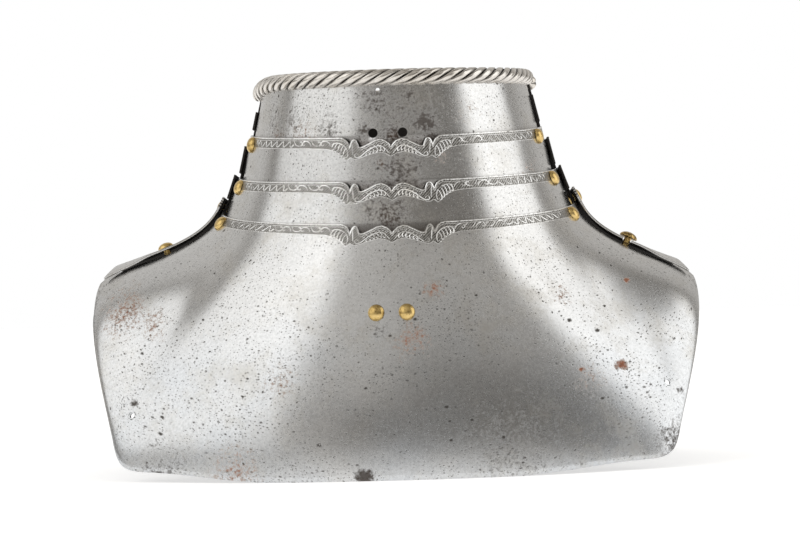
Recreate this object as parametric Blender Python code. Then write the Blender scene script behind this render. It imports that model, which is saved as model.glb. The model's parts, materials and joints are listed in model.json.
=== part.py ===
# Steel gorget: a collar, two lames and a main plate at the front, the same four at the back,
# joined by brass rivets. The wearer looks along -Y, +Z is up, and the plates stand on z = 0.
# The halves turn on the rivet at the wearer's right shoulder (-X) and close on the stud at +X.

import math
from collections import namedtuple

import bmesh
import bpy
import numpy as np
from mathutils import Matrix, Vector

MM = 0.001

# Driving sizes
NECK_HALF_WIDTH = 70.7 * MM  # outer face of the front collar at its rim
NECK_DEPTH = 74.0 * MM  # from the neck's axis to the collar's outer face
NECK_HEIGHT = 207.5 * MM  # core of the rim above the table, at the sides
NECK_SHIFT = 2.2 * MM  # the neck stands this far to the wearer's left of the middle
HALF_WIDTH = 161.0 * MM  # widest point of the front plate
HALF_DEPTH = 124.0 * MM  # from the neck's axis to the foot of either plate
SHOULDER_HEIGHT = 106.5 * MM  # outer end of the shoulder straps above the table
LEFT_DROP = 5.5 * MM  # the wearer's left shoulder stands this much lower

# Sheet steel
SHEET = 1.2 * MM
LAME_GAP = 1.1 * MM  # between two plates that slide over each other
LAP = 11.0 * MM  # hidden part of a plate below the next plate's top edge
LAP_LEAN = 2.8 * MM  # the foot of a lap stands this much further in at the middle
STRAP_GAP = 2.6 * MM  # between the shoulder straps of the two main plates
BACK_RISE = 7.5 * MM  # the back plate's neck edge stands this far above the front plate's
SIDE_LAP = 4.0 * MM  # each half reaches this far past the neck's widest line
LAP_SET_BACK = 2.6 * MM  # the back laps stop this far behind the front plates' ends
EDGE_CLEAR = 3.2 * MM  # above the next front plate's top edge, where a back wall passes
STEP = SHEET + LAME_GAP
BACK_OFFSET = SHEET + STRAP_GAP

# Neck flare of the main plates, and the length over which they keep it
FLARE_MID = math.radians(14.0)
FLARE_SIDE = math.radians(28.0)
NECK_HANDLE = 25.0 * MM

# Roped rim
ROPE_RADIUS = 4.3 * MM
ROPE_GROOVE = 0.9 * MM
ROPE_STRANDS = 4
ROPE_PITCH = 8.4 * MM  # from one strand to the next along the rim
ROPE_STAND = 0.3 * MM  # rope's core outside the collar's outer face
ROPE_GAP = 5.2 * MM  # between the ends of the front and back ropes
ROPE_CLEAR = 3.3 * MM  # below the rope, where the other half's wall passes under it
DROOP = 5.0 * MM  # the front rim's end is bent down at the wearer's right
SPREAD = 2.4 * MM  # and outwards
DROOP_FROM = math.radians(-58.0)

# Rivets
HEAD_RADIUS = 4.3 * MM
HEAD_HEIGHT = 3.1 * MM
SHANK_RADIUS = 1.9 * MM
BURR_RADIUS = 3.2 * MM
BURR_HEIGHT = 0.8 * MM
SEAT_GAP = 0.4 * MM  # rivet to plate, and shank to hole
RIVET_SIDES = 10
RIVET_DROP = 4.6 * MM  # rivet centre below the top edge of the plate that carries it
FRONT_RIVET_TURN = math.radians(73.5)
BACK_RIVET_SET = {"collar": 28.0 * MM, "upper_lame": 28.0 * MM, "lower_lame": 12.0 * MM}
CHEST_RIVET_SPACING = 15.6 * MM
CHEST_RIVET_HEIGHT = 84.0 * MM
CHEST_RIVET_SHIFT = 1.0 * MM
STRAP_RIVET_OUT = 124.0 * MM  # pivot and stud from the middle
STUD_RADIUS = 4.9 * MM
STUD_STAND = 1.6 * MM  # the stud's head stands off the strap
SLOT_CLEAR = 0.5 * MM

# Holes
COLLAR_HOLE_RADIUS = 2.5 * MM
COLLAR_HOLE_SPACING = 15.4 * MM
COLLAR_HOLE_DROP = 31.0 * MM  # below the top of the neck
COLLAR_HOLE_SHIFT = -1.6 * MM
RIM_HOLE_RADIUS = 1.1 * MM
RIM_HOLE_DROP = 8.5 * MM  # below the top of the neck
RIM_HOLES_AT = (-6.0 * MM, 57.0 * MM)
STRAP_HOLE_RADIUS = 1.5 * MM
STRAP_HOLE_SET = 13.0 * MM  # spare holes, in front of the strap rivets
STRAP_HOLE_OUT = 113.0 * MM
SIDE_HOLE_RADIUS = 1.45 * MM
# across as a share of HALF_WIDTH, height as a share of SHOULDER_HEIGHT
SideHole = namedtuple("SideHole", "across height")
SIDE_HOLES = (SideHole(-0.845, 0.320), SideHole(0.879, 0.408))

# Grid of the sheets
NECK_COLUMNS = 28
PLATE_COLUMNS = (0.0, 0.045, 0.09, 0.135, 0.18, 0.22, 0.255, 0.28, 0.297, 0.311, 0.325, 0.345)
PLATE_COLUMNS += (0.375, 0.41, 0.445, 0.475, 0.505)  # on each side of a main plate's centre
SEAT_SHARE = 0.7  # the visible part of a neck plate's rows; the rest is its hidden lap
NECK_ROWS = (0.0, SEAT_SHARE, 1.0)
BENT_SHARE = 0.2  # the bend of the front rim's end fades out over these rows
PLATE_ROWS = (0.0, 0.08, 0.19, 0.32, 0.46, 0.60, 0.74, 0.87, 1.0)
ROPE_STEPS_PER_PITCH = 2

# Top edges of the neck plates, from the rim down. Heights are shares of NECK_HEIGHT, the width is a
# share of NECK_HALF_WIDTH and the depth a share of NECK_DEPTH, to the outer face.
Edge = namedtuple("Edge", "side_height mid_height half_width depth")
FRONT_EDGES = {
    "collar": Edge(1.000, 0.990, 1.000, 1.000),
    "upper_lame": Edge(0.871, 0.841, 1.115, 1.074),
    "lower_lame": Edge(0.761, 0.730, 1.214, 1.135),
    "plate": Edge(0.672, 0.624, 1.351, 1.209),
}
BACK_EDGES = {
    "collar": Edge(0.990, 0.978, 1.033, 1.014),
    "upper_lame": Edge(0.843, 0.824, 1.168, 1.108),
    "lower_lame": Edge(0.769, 0.733, 1.253, 1.180),
}

# Rays of the main plates, from the front centre (0) over the shoulder (0.5) to the back centre (1).
# turn is the ray's start on the neck edge in degrees from the centre. out_ is its outer end and
# lean_ the way from there to its last control point, as shares of the half width, half depth and
# shoulder height. A height under 0 is cut off at the table.
Ray = namedtuple("Ray", "around turn out_x out_y out_z lean_x lean_y lean_z")
RAYS = (
    Ray(0.000, 0.0, 0.000, -1.000, -0.012, 0.00, 0.000, 0.46),
    Ray(0.100, 17.5, 0.280, -0.972, -0.010, 0.00, 0.000, 0.46),
    Ray(0.200, 36.0, 0.570, -0.870, 0.020, 0.00, 0.005, 0.46),
    Ray(0.270, 50.0, 0.785, -0.745, 0.048, 0.00, 0.010, 0.44),
    Ray(0.305, 56.0, 0.885, -0.670, 0.085, 0.00, 0.020, 0.40),
    Ray(0.330, 60.0, 0.915, -0.615, 0.200, 0.00, 0.030, 0.37),
    Ray(0.370, 67.0, 0.955, -0.510, 0.430, 0.00, 0.040, 0.33),
    Ray(0.415, 76.5, 0.998, -0.330, 0.740, -0.03, 0.060, 0.24),
    Ray(0.460, 86.8, 0.998, -0.125, 0.950, -0.13, 0.040, 0.13),
    Ray(0.500, 90.0, 0.975, 0.000, 1.000, -0.20, 0.000, 0.11),
    Ray(0.540, 93.2, 0.960, 0.125, 0.950, -0.13, -0.040, 0.13),
    Ray(0.585, 103.5, 0.945, 0.330, 0.740, -0.03, -0.060, 0.24),
    Ray(0.630, 113.0, 0.905, 0.510, 0.430, 0.00, -0.040, 0.33),
    Ray(0.670, 120.0, 0.860, 0.615, 0.200, 0.00, -0.030, 0.37),
    Ray(0.695, 124.0, 0.828, 0.670, 0.085, 0.00, -0.020, 0.40),
    Ray(0.730, 130.0, 0.740, 0.745, 0.048, 0.00, -0.010, 0.44),
    Ray(0.800, 144.0, 0.540, 0.870, 0.020, 0.00, -0.005, 0.46),
    Ray(0.900, 162.5, 0.270, 0.972, -0.010, 0.00, 0.000, 0.46),
    Ray(1.000, 180.0, 0.000, 1.000, -0.012, 0.00, 0.000, 0.46),
)
STRAP_MIDDLE = 0.5
FRONT_REACH = 0.53  # the front plate's rays end here
BACK_REACH = 0.46  # the back plate's begin here
STRAP_TRIM_FROM = 0.74  # from here down, the end of the front strap is rounded off
STRAP_TRIM = 0.12  # share of the reach that this takes at the rim
BACK_TRIM = 0.07  # the back strap stops this much short of the rim
BACK_TRIM_WIDTH = 0.14  # and this far round from the strap's middle it doesn't

# Cusped edge at the middle of each lower plate: distance from the centre and depth below the
# straight edge, as shares of half the ornament's width and of its depth.
CUSP_HALF_WIDTH = 27.0 * MM
CUSP_DEPTH = 5.3 * MM
CUSP_TOP = 3.0 * MM  # the cutter stands this far above the edge
Cusp = namedtuple("Cusp", "out down")
CUSPS = (
    Cusp(0.000, 1.00),
    Cusp(0.050, 0.60),
    Cusp(0.110, 0.33),
    Cusp(0.200, 0.18),
    Cusp(0.290, 0.26),
    Cusp(0.390, 0.52),
    Cusp(0.500, 0.83),
    Cusp(0.575, 0.98),
    Cusp(0.625, 0.94),
    Cusp(0.650, 0.60),
    Cusp(0.680, 0.26),
    Cusp(0.720, 0.16),
    Cusp(0.760, 0.32),
    Cusp(0.785, 0.64),
    Cusp(0.805, 1.00),
    Cusp(0.830, 0.62),
    Cusp(0.870, 0.30),
    Cusp(0.930, 0.10),
    Cusp(1.000, 0.00),
)

# Colours from the photograph
STEEL = ("steel", (0.62, 0.62, 0.62, 1.0), 1.0, 0.32)
BRASS = ("brass", (0.72, 0.52, 0.20, 1.0), 1.0, 0.28)


def clear_scene():
    for thing in list(bpy.data.objects):
        bpy.data.objects.remove(thing)


def metal(name, finish):
    """A piece's own material, in its metal."""
    kind, colour, metallic, roughness = finish
    made = bpy.data.materials.new(f"{name}_{kind}")
    made.use_nodes = True
    shader = made.node_tree.nodes["Principled BSDF"]
    shader.inputs["Base Color"].default_value = colour
    shader.inputs["Metallic"].default_value = metallic
    shader.inputs["Roughness"].default_value = roughness
    made.diffuse_color = colour
    return made


def add_object(name, points, faces, finish=STEEL, origin=None):
    """A closed solid from its points in world space, with its origin where it is asked for."""
    origin = origin or Vector()
    mesh = bpy.data.meshes.new(name)
    mesh.from_pydata([point - origin for point in points], [], faces)
    work = bmesh.new()
    work.from_mesh(mesh)
    made = finish_object(name, mesh, work, finish)
    made.location = origin
    return made


def finish_object(name, mesh, work, finish):
    """Closes the work on a mesh and puts it into the scene as an object with its material."""
    bmesh.ops.remove_doubles(work, verts=work.verts, dist=1e-7)
    bmesh.ops.recalc_face_normals(work, faces=work.faces)
    work.to_mesh(mesh)
    work.free()
    mesh.materials.append(metal(name, finish))
    mesh.shade_smooth()
    mesh.set_sharp_from_angle(angle=math.radians(40.0))
    made = bpy.data.objects.new(name, mesh)
    bpy.context.scene.collection.objects.link(made)
    return made


def carry(piece, carrier):
    """Parents a piece to the one that carries it, without moving it."""
    bpy.context.view_layer.update()
    piece.parent = carrier
    piece.matrix_parent_inverse = carrier.matrix_world.inverted()


def combine(target, tool, operation):
    """Cuts the tool from the target, or joins it on, and hides it."""
    tool.hide_render = True
    tool.display_type = "WIRE"
    carry(tool, target)
    modifier = target.modifiers.new(tool.name, "BOOLEAN")
    modifier.operation = operation
    modifier.solver = "EXACT"
    modifier.object = tool


def spline_through(keys, values):
    """Second derivatives of the natural cubic spline through the values."""
    count = len(keys)
    rows = np.eye(count)
    known = np.zeros(count)
    for i in range(1, count - 1):
        before = keys[i] - keys[i - 1]
        after = keys[i + 1] - keys[i]
        rows[i, i - 1 : i + 2] = (before, 2.0 * (before + after), after)
        rise = (values[i + 1] - values[i]) / after
        known[i] = 6.0 * (rise - (values[i] - values[i - 1]) / before)
    return np.linalg.solve(rows, known)


def mirrored_rays():
    """The rays with a few mirrored past both centres, so that the surface is smooth there."""
    odd = {"turn", "out_x", "lean_x"}
    flipped = [
        Ray(*[-x if name in odd or name == "around" else x for name, x in row._asdict().items()])
        for row in RAYS[1:5]
    ]
    over = [
        Ray(2.0 - row.around, 360.0 - row.turn, -row.out_x, *row[3:5], -row.lean_x, *row[6:])
        for row in RAYS[-5:-1]
    ]
    return flipped[::-1] + list(RAYS) + over[::-1]


ALL_RAYS = mirrored_rays()
RAY_KEYS = [row.around for row in ALL_RAYS]
RAY_SPLINES = {
    name: ([getattr(row, name) for row in ALL_RAYS],)
    + (spline_through(RAY_KEYS, [getattr(row, name) for row in ALL_RAYS]),)
    for name in Ray._fields[1:]
}


def along_rays(name, around):
    """A column of the ray table at any place between its rows."""
    i = int(np.clip(np.searchsorted(RAY_KEYS, around) - 1, 0, len(RAY_KEYS) - 2))
    values, bends = RAY_SPLINES[name]
    width = RAY_KEYS[i + 1] - RAY_KEYS[i]
    b = (around - RAY_KEYS[i]) / width
    a = 1.0 - b
    curve = (a**3 - a) * bends[i] + (b**3 - b) * bends[i + 1]
    return a * values[i] + b * values[i + 1] + curve * width**2 / 6.0


def edge_point(edge, facing, turn):
    """Outer face of a neck plate at its top edge. facing is -1 in front and 1 behind."""
    rise = (edge.side_height - edge.mid_height) * min(1.0 - math.cos(turn), 1.0)
    return Vector(
        (
            edge.half_width * NECK_HALF_WIDTH * math.sin(turn) + NECK_SHIFT,
            facing * edge.depth * NECK_DEPTH * math.cos(turn),
            (edge.mid_height + rise) * NECK_HEIGHT,
        )
    )


def main_surface(around, down):
    """Outer face of the front plate. around runs -1 to 1, down from the neck edge (0) to the rim
    (1), and to -1 for the stretch by which the back plate rises above that edge."""
    mirror = -1.0 if around < 0.0 else 1.0
    around = abs(around)
    turn = math.radians(along_rays("turn", around))
    facing = -1.0 if around <= STRAP_MIDDLE else 1.0
    start = edge_point(FRONT_EDGES["plate"], facing, turn if facing < 0.0 else math.pi - turn)
    start.x -= NECK_SHIFT
    flare = FLARE_MID + (FLARE_SIDE - FLARE_MID) * math.sin(turn) ** 2
    out = Vector((math.sin(turn), -math.cos(turn), 0.0)) * math.sin(flare)
    handle = out - Vector((0.0, 0.0, math.cos(flare)))
    if down < 0.0:
        point = start + handle * (down * BACK_RISE)
    else:
        foot_depth = HALF_DEPTH if facing < 0.0 else HALF_DEPTH - BACK_OFFSET
        reach = Vector((HALF_WIDTH, foot_depth, SHOULDER_HEIGHT))
        end = Vector([along_rays(f"out_{axis}", around) for axis in "xyz"]) * reach
        end.z = max(end.z, 0.0)
        lean = Vector([along_rays(f"lean_{axis}", around) for axis in "xyz"]) * reach
        left = 1.0 - down
        point = (
            start * left**3
            + (start + handle * NECK_HANDLE) * (3.0 * left**2 * down)
            + (end + lean) * (3.0 * left * down**2)
            + end * down**3
        )
    reach = max(down, 0.0)
    point.x = point.x * mirror + NECK_SHIFT * (1.0 - reach) ** 2
    if mirror > 0.0:
        point.z -= LEFT_DROP * reach * max(along_rays("out_z", around), 0.0)
    return point


def back_surface(around, down):
    """Outer face of the back plate: the front plate's face, moved out by the strap gap."""
    base = main_surface(around, down)
    return base + outward(main_surface, around, down) * BACK_OFFSET


def outward(surface, across, down):
    """Normal of a surface, turned away from the neck's axis."""
    small = 1e-4
    sideways = surface(across + small, down) - surface(across - small, down)
    low = min(down + small, 1.0)
    downwards = surface(across, low) - surface(across, low - 2.0 * small)
    normal = sideways.cross(downwards).normalized()
    point = surface(across, down)
    away = Vector((point.x, point.y, HALF_WIDTH)).dot(normal)
    return normal if away > 0.0 else -normal


def neck_surface(edges, facing, name, turn, down):
    """Outer face of a collar or lame, from its top edge (0) over the carrying plate's top edge
    (SEAT_SHARE) to the foot of its hidden lap (1)."""
    flat = Vector((math.sin(turn), facing * math.cos(turn), 0.0))
    carrier = plate_below(edges, name)
    seat = inside_of(edges, facing, carrier, turn, 0.0, flat * STEP)
    if down <= SEAT_SHARE:
        return edge_of(edges, facing, name, turn).lerp(seat, down / SEAT_SHARE)
    lean = STEP + LAP_LEAN * math.cos(turn) ** 2
    foot = inside_of(edges, facing, carrier, turn, LAP, flat * lean)
    return seat.lerp(foot, (down - SEAT_SHARE) / (1.0 - SEAT_SHARE))


def plate_below(edges, name):
    """Name of the plate that carries this one."""
    names = list(edges) + ["plate"]
    return names[names.index(name) + 1]


def edge_of(edges, facing, name, turn):
    """Outer face of any plate at its neck edge."""
    if name in edges:
        return edge_point(edges[name], facing, turn)
    return back_plate_edge(turn)


def below_edge(edges, facing, name, turn, drop):
    """Outer face of any plate, a distance below its neck edge."""
    if name == "plate":
        around = math.copysign(around_at(abs(turn), facing), turn)
        if facing < 0.0:
            return main_surface(around, drop / (3.0 * NECK_HANDLE))
        if drop < BACK_RISE:
            return back_surface(around, drop / BACK_RISE - 1.0)
        return back_surface(around, (drop - BACK_RISE) / (3.0 * NECK_HANDLE))
    top = edge_point(edges[name], facing, turn)
    flat = Vector((math.sin(turn), facing * math.cos(turn), 0.0))
    seat = edge_of(edges, facing, plate_below(edges, name), turn) - flat * STEP
    return top + (seat - top).normalized() * drop


def inside_of(edges, facing, name, turn, drop, inwards):
    """A point inside a plate, square to its face. inwards is level and as long as the way in."""
    point = below_edge(edges, facing, name, turn, drop)
    fall = (below_edge(edges, facing, name, turn, drop + MM) - point).normalized()
    flat = inwards.normalized()
    square = flat * -fall.z + Vector((0.0, 0.0, fall.dot(flat)))
    return point - square * inwards.length


def back_plate_edge(turn):
    """Neck edge of the back plate at a turn counted from the back's centre."""
    return back_surface(math.copysign(around_at(abs(turn), 1.0), turn), -1.0)


def sheet(name, surface, columns, rows, origin=None):
    """A plate of sheet steel: columns from one side to the other, rows (a list for each column)
    from top to bottom, and the inner face SHEET inside the outer one."""
    outer, inner = [], []
    for across, downs in zip(columns, rows):
        for down in downs:
            point = surface(across, down)
            outer.append(point)
            inner.append(point - outward(surface, across, down) * SHEET)
    tall = len(rows[0])
    points = outer + inner
    shift = len(outer)
    faces = []
    for i in range(len(columns) - 1):
        for j in range(tall - 1):
            a, b = i * tall + j, (i + 1) * tall + j
            faces.append((a, a + 1, b + 1, b))
            faces.append((a + shift, b + shift, b + 1 + shift, a + 1 + shift))
        for j in (0, tall - 1):
            a, b = i * tall + j, (i + 1) * tall + j
            faces.append((a, b, b + shift, a + shift))
    for i in (0, len(columns) - 1):
        for j in range(tall - 1):
            a = i * tall + j
            faces.append((a, a + 1, a + 1 + shift, a + shift))
    return add_object(name, points, faces, origin=origin)


def evenly(low, high, count):
    return [low + (high - low) * i / count for i in range(count + 1)]


def turn_at(edge, set_back):
    """Turn at which a neck plate's edge lies this far behind the neck's widest line."""
    return math.pi / 2.0 + math.asin(set_back / (edge.depth * NECK_DEPTH))


def droop_share(turn):
    """How far the bent end of the front rim has gone, from 0 to 1."""
    end = -math.pi / 2.0
    share = min(max((turn - DROOP_FROM) / (end - DROOP_FROM), 0.0), 1.0)
    return share * share


def collar_surface(edges, facing, turn, down):
    """Outer face of a collar, with the bent end that the front one has."""
    point = neck_surface(edges, facing, "collar", turn, down)
    if facing < 0.0:
        share = droop_share(turn) * max(1.0 - down / BENT_SHARE, 0.0)
        point += Vector((-SPREAD, 0.0, -DROOP)) * share
    return point


def rope(name, edges, facing, low, high):
    """Roped rim: strands wound round the collar's top edge, from one turn to another."""
    radius = 0.5 * (NECK_HALF_WIDTH + NECK_DEPTH)
    length = radius * (high - low)
    steps = round(length / ROPE_PITCH * ROPE_STEPS_PER_PITCH)
    corners = 2 * ROPE_STRANDS
    points, faces = [], []
    for i, turn in enumerate(evenly(low, high, steps)):
        core = collar_surface(edges, facing, turn, 0.0)
        flat = Vector((math.sin(turn), facing * math.cos(turn), 0.0))
        core += flat * ROPE_STAND
        wound = 2.0 * math.pi * i / (ROPE_STEPS_PER_PITCH * ROPE_STRANDS)
        for k in range(corners):
            angle = -facing * wound + 2.0 * math.pi * k / corners
            reach = ROPE_RADIUS - (ROPE_GROOVE if k % 2 else 0.0)
            up = Vector((0.0, 0.0, math.sin(angle)))
            points.append(core + (flat * math.cos(angle) + up) * reach)
    for i in range(steps):
        for k in range(corners):
            a, b = i * corners + k, i * corners + (k + 1) % corners
            faces.append((a, b, b + corners, a + corners))
    faces.append(tuple(range(corners)))
    faces.append(tuple(steps * corners + k for k in range(corners)))
    return add_object(name, points, faces)


def cylinder(name, centre, axis, radius, length):
    """A round tool, centred on a point."""
    profile = ((0.0, -0.5 * length), (radius, -0.5 * length), (radius, 0.5 * length))
    return turned(name, profile + ((0.0, 0.5 * length),), centre, axis, STEEL)


def turned(name, profile, centre, axis, finish):
    """A turned piece from (radius, height) points; the first and last lie on its axis."""
    work = bmesh.new()
    line = [work.verts.new((radius, 0.0, height)) for radius, height in profile]
    edges = [work.edges.new(pair) for pair in zip(line, line[1:])]
    bmesh.ops.spin(
        work,
        geom=line + edges,
        cent=(0.0, 0.0, 0.0),
        axis=(0.0, 0.0, 1.0),
        angle=2.0 * math.pi,
        steps=RIVET_SIDES,
        use_merge=True,
    )
    made = finish_object(name, bpy.data.meshes.new(name), work, finish)
    made.location = centre
    made.rotation_euler = Vector((0.0, 0.0, 1.0)).rotation_difference(axis).to_euler()
    return made


def rivet(name, seat, axis, grip, head_radius=HEAD_RADIUS, stand=0.0, spacer=None):
    """Domed brass rivet. seat is on the outer face under its head, grip the thickness held, and
    spacer the (top, bottom) of a thick part of the shank below the seat."""
    top = SEAT_GAP + stand
    foot = -grip - 1.5 * SEAT_GAP
    profile = [
        (0.0, foot - BURR_HEIGHT),
        (BURR_RADIUS, foot),
        (SHANK_RADIUS, foot),
    ]
    if spacer:
        high, low = spacer
        profile += [(SHANK_RADIUS, low), (BURR_RADIUS, low), (BURR_RADIUS, high)]
        profile += [(SHANK_RADIUS, high)]
    profile += [(SHANK_RADIUS, top), (head_radius, top)]
    for share in (0.35, 0.7):
        lean = share * math.pi / 2.0
        profile.append((head_radius * math.cos(lean), top + HEAD_HEIGHT * math.sin(lean)))
    profile.append((0.0, top + HEAD_HEIGHT))
    return turned(name, tuple(profile), seat, axis, BRASS)


def drill(target, name, centre, axis, radius, length=None):
    """A round hole through a sheet."""
    tool = cylinder(name, centre, axis, radius, length or 12.0 * SHEET)
    combine(target, tool, "DIFFERENCE")


def cut_cusps(target, name, edge, facing, top):
    """Cuts the cusped ornament into the middle of a plate's top edge."""
    front = edge.depth * NECK_DEPTH
    outline = [Vector((0.0, 0.0, -c.down * CUSP_DEPTH)) for c in CUSPS]
    for point, cusp in zip(outline, CUSPS):
        point.x = cusp.out * CUSP_HALF_WIDTH
    left = [Vector((-p.x, 0.0, p.z)) for p in reversed(outline[1:])]
    line = left + outline
    line = [Vector((-CUSP_HALF_WIDTH, 0.0, CUSP_TOP))] + line
    line.append(Vector((CUSP_HALF_WIDTH, 0.0, CUSP_TOP)))
    near, far = facing * front * 0.7, facing * front * 1.3
    points = [Vector((p.x + NECK_SHIFT, near, p.z + top)) for p in line]
    points += [Vector((p.x + NECK_SHIFT, far, p.z + top)) for p in line]
    count = len(line)
    faces = [tuple(range(count)), tuple(range(2 * count - 1, count - 1, -1))]
    for k in range(count):
        after = (k + 1) % count
        faces.append((k, after, after + count, k + count))
    combine(target, add_object(name, points, faces), "DIFFERENCE")


def on_neck(edges, facing, name, turn, drop):
    """Point and outward direction on any plate, a distance below its neck edge."""

    def surface(across, down):
        return below_edge(edges, facing, name, across, down)

    return surface(turn, drop), outward(surface, turn, drop)


def around_at(turn, facing):
    """The place on the main plates' rays that starts at this turn from the half's own centre."""
    wanted = math.degrees(turn if facing < 0.0 else math.pi - turn)
    low, high = 0.0, 1.0
    for _ in range(30):
        middle = 0.5 * (low + high)
        if along_rays("turn", middle) < wanted:
            low = middle
        else:
            high = middle
    return 0.5 * (low + high)


def build_lame(side, edges, facing, name):
    """One lame of the neck, with its cusped edge."""
    if facing < 0.0:
        end = turn_at(edges[name], SIDE_LAP)
        columns = evenly(-end, end, NECK_COLUMNS)
        rows = [NECK_ROWS] * len(columns)
    else:
        columns, rows = back_columns(edges, name)
    made = sheet(
        f"{side}_{name}",
        lambda turn, down: neck_surface(edges, facing, name, turn, down),
        columns,
        rows,
        hinge_point(edges, facing, name),
    )
    cut_cusps(
        made, f"{side}_{name}_cusps", edges[name], facing, edges[name].mid_height * NECK_HEIGHT
    )
    return made


def back_columns(edges, name, lowered=None):
    """Columns of a back plate. Its visible wall passes outside the front's, and its hidden lap
    starts behind the front's end. lowered is the drop of the wall's top there, by side."""
    end = turn_at(edges[name], SIDE_LAP)
    lap_end = turn_at(edges[name], -SIDE_LAP - LAP_SET_BACK)
    columns = [-end, -lap_end - 0.004] + evenly(-lap_end, lap_end, NECK_COLUMNS - 4)
    columns += [lap_end + 0.004, end]
    high = edge_point(edges[name], 1.0, math.pi / 2.0).z
    low = edge_of(edges, 1.0, plate_below(edges, name), math.pi / 2.0).z
    front_edge = edge_point(FRONT_EDGES[plate_below(edges, name)], -1.0, math.pi / 2.0).z
    free = (high - front_edge - EDGE_CLEAR) / (high - low) * SEAT_SHARE
    bottom = min(free, SEAT_SHARE - 0.02)
    rows = []
    for turn in columns:
        if abs(turn) > lap_end + 0.002:
            top = lowered[turn > 0.0] if lowered else 0.0
            rows.append((top, 0.5 * (top + bottom), bottom))
        else:
            rows.append(NECK_ROWS)
    return columns, rows


def build_collar(side, edges, facing):
    """A collar with its roped rim."""
    edge = edges["collar"]
    wall = below_edge(edges, facing, "upper_lame", math.pi / 2.0, 0.0) - edge_point(
        edge, facing, math.pi / 2.0
    )
    share = SEAT_SHARE / wall.length
    lowered = ((ROPE_RADIUS + ROPE_CLEAR + DROOP) * share, (ROPE_RADIUS + ROPE_CLEAR) * share)
    if facing < 0.0:
        rope_end = turn_at(edge, SIDE_LAP + LAP_SET_BACK - ROPE_GAP)
        end = turn_at(edge, SIDE_LAP)
        inside = evenly(-rope_end, rope_end, NECK_COLUMNS - 4)
        columns = [-end, -rope_end - 0.004] + inside + [rope_end + 0.004, end]
        rows = [(0.0, BENT_SHARE) + NECK_ROWS[1:]] * len(columns)
        for i, turn in enumerate(columns):
            if abs(turn) > rope_end + 0.002:
                top = lowered[turn > 0.0]
                rows[i] = (top, 0.5 * (top + SEAT_SHARE)) + NECK_ROWS[1:]
    else:
        rope_end = turn_at(edge, -SIDE_LAP - LAP_SET_BACK)
        columns, rows = back_columns(edges, "collar", lowered)
    made = sheet(
        f"{side}_collar",
        lambda turn, down: collar_surface(edges, facing, turn, down),
        columns,
        rows,
        hinge_point(edges, facing, "collar"),
    )
    combine(made, rope(f"{side}_rope", edges, facing, -rope_end, rope_end), "UNION")
    return made


def build_plates():
    """The two main plates, with their cusped neck edges."""
    half = PLATE_COLUMNS + (FRONT_REACH,)
    columns = [-x for x in reversed(half[1:])] + list(half)
    front = sheet("front_plate", trimmed_front, columns, [PLATE_ROWS] * len(columns))
    edge = FRONT_EDGES["plate"]
    cut_cusps(front, "front_plate_cusps", edge, -1.0, edge.mid_height * NECK_HEIGHT)
    half = PLATE_COLUMNS + (1.0 - BACK_REACH,)
    columns = [1.0 - x for x in reversed(half[1:])] + [1.0 + x for x in half]
    rows = [(-1.0,) + PLATE_ROWS] * len(columns)
    back = sheet("back_plate", past_back_centre, columns, rows, strap_seat(-STRAP_MIDDLE)[0])
    top = back_plate_edge(0.0).z
    cut_cusps(back, "back_plate_cusps", edge, 1.0, top)
    return front, back


def trimmed_front(around, down):
    """Outer face of the front plate, with the ends of its shoulder straps rounded off."""
    past = max(down - STRAP_TRIM_FROM, 0.0) / (1.0 - STRAP_TRIM_FROM)
    return main_surface(around * (1.0 - STRAP_TRIM * past * past), down)


def past_back_centre(around, down):
    """Outer face of the back plate, counted on past the back's centre to the other shoulder."""
    past = (1.0 - abs(around - 1.0) - STRAP_MIDDLE) / BACK_TRIM_WIDTH
    down *= 1.0 - BACK_TRIM * max(1.0 - past * past, 0.0) ** 2 * (down > 0.0)
    return back_surface(around if around <= 1.0 else around - 2.0, down)


def rivet_turn(edges, facing, upper):
    """Where round the neck the rivets of a plate's lower edge sit."""
    if facing < 0.0:
        return FRONT_RIVET_TURN
    return turn_at(edges[upper], -BACK_RIVET_SET[upper])


def hinge_point(edges, facing, upper):
    """Middle of the line through a plate's two rivets, on which the plate turns."""
    turn = rivet_turn(edges, facing, upper)
    carrier = plate_below(edges, upper)
    ends = [on_neck(edges, facing, carrier, x, RIVET_DROP)[0] for x in (-turn, turn)]
    return 0.5 * (ends[0] + ends[1])


def add_neck_rivets(side, edges, facing, plates):
    """A pair of rivets at each overlap; the upper plate turns on them."""
    for upper in ("collar", "upper_lame", "lower_lame"):
        turn = rivet_turn(edges, facing, upper)
        lower = plate_below(edges, upper)
        for end, sign in (("right", -1.0), ("left", 1.0)):
            seat, axis = on_neck(edges, facing, lower, sign * turn, RIVET_DROP)
            label = f"{side}_{upper}_rivet_{end}"
            for plate in (upper, lower):
                drill(plates[plate], f"{label}_{plate}_hole", seat, axis, SHANK_RADIUS + SEAT_GAP)
            carry(rivet(label, seat, axis, STEP + SHEET), plates[lower])


def strap_seat(around):
    """Seat and axis of the fitting on a shoulder strap, on the back plate's outer face."""
    low, high = 0.3, 0.95
    for _ in range(30):
        down = 0.5 * (low + high)
        if abs(main_surface(around, down).x) < STRAP_RIVET_OUT:
            low = down
        else:
            high = down
    axis = outward(main_surface, around, down)
    return main_surface(around, down) + axis * BACK_OFFSET, axis


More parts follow.
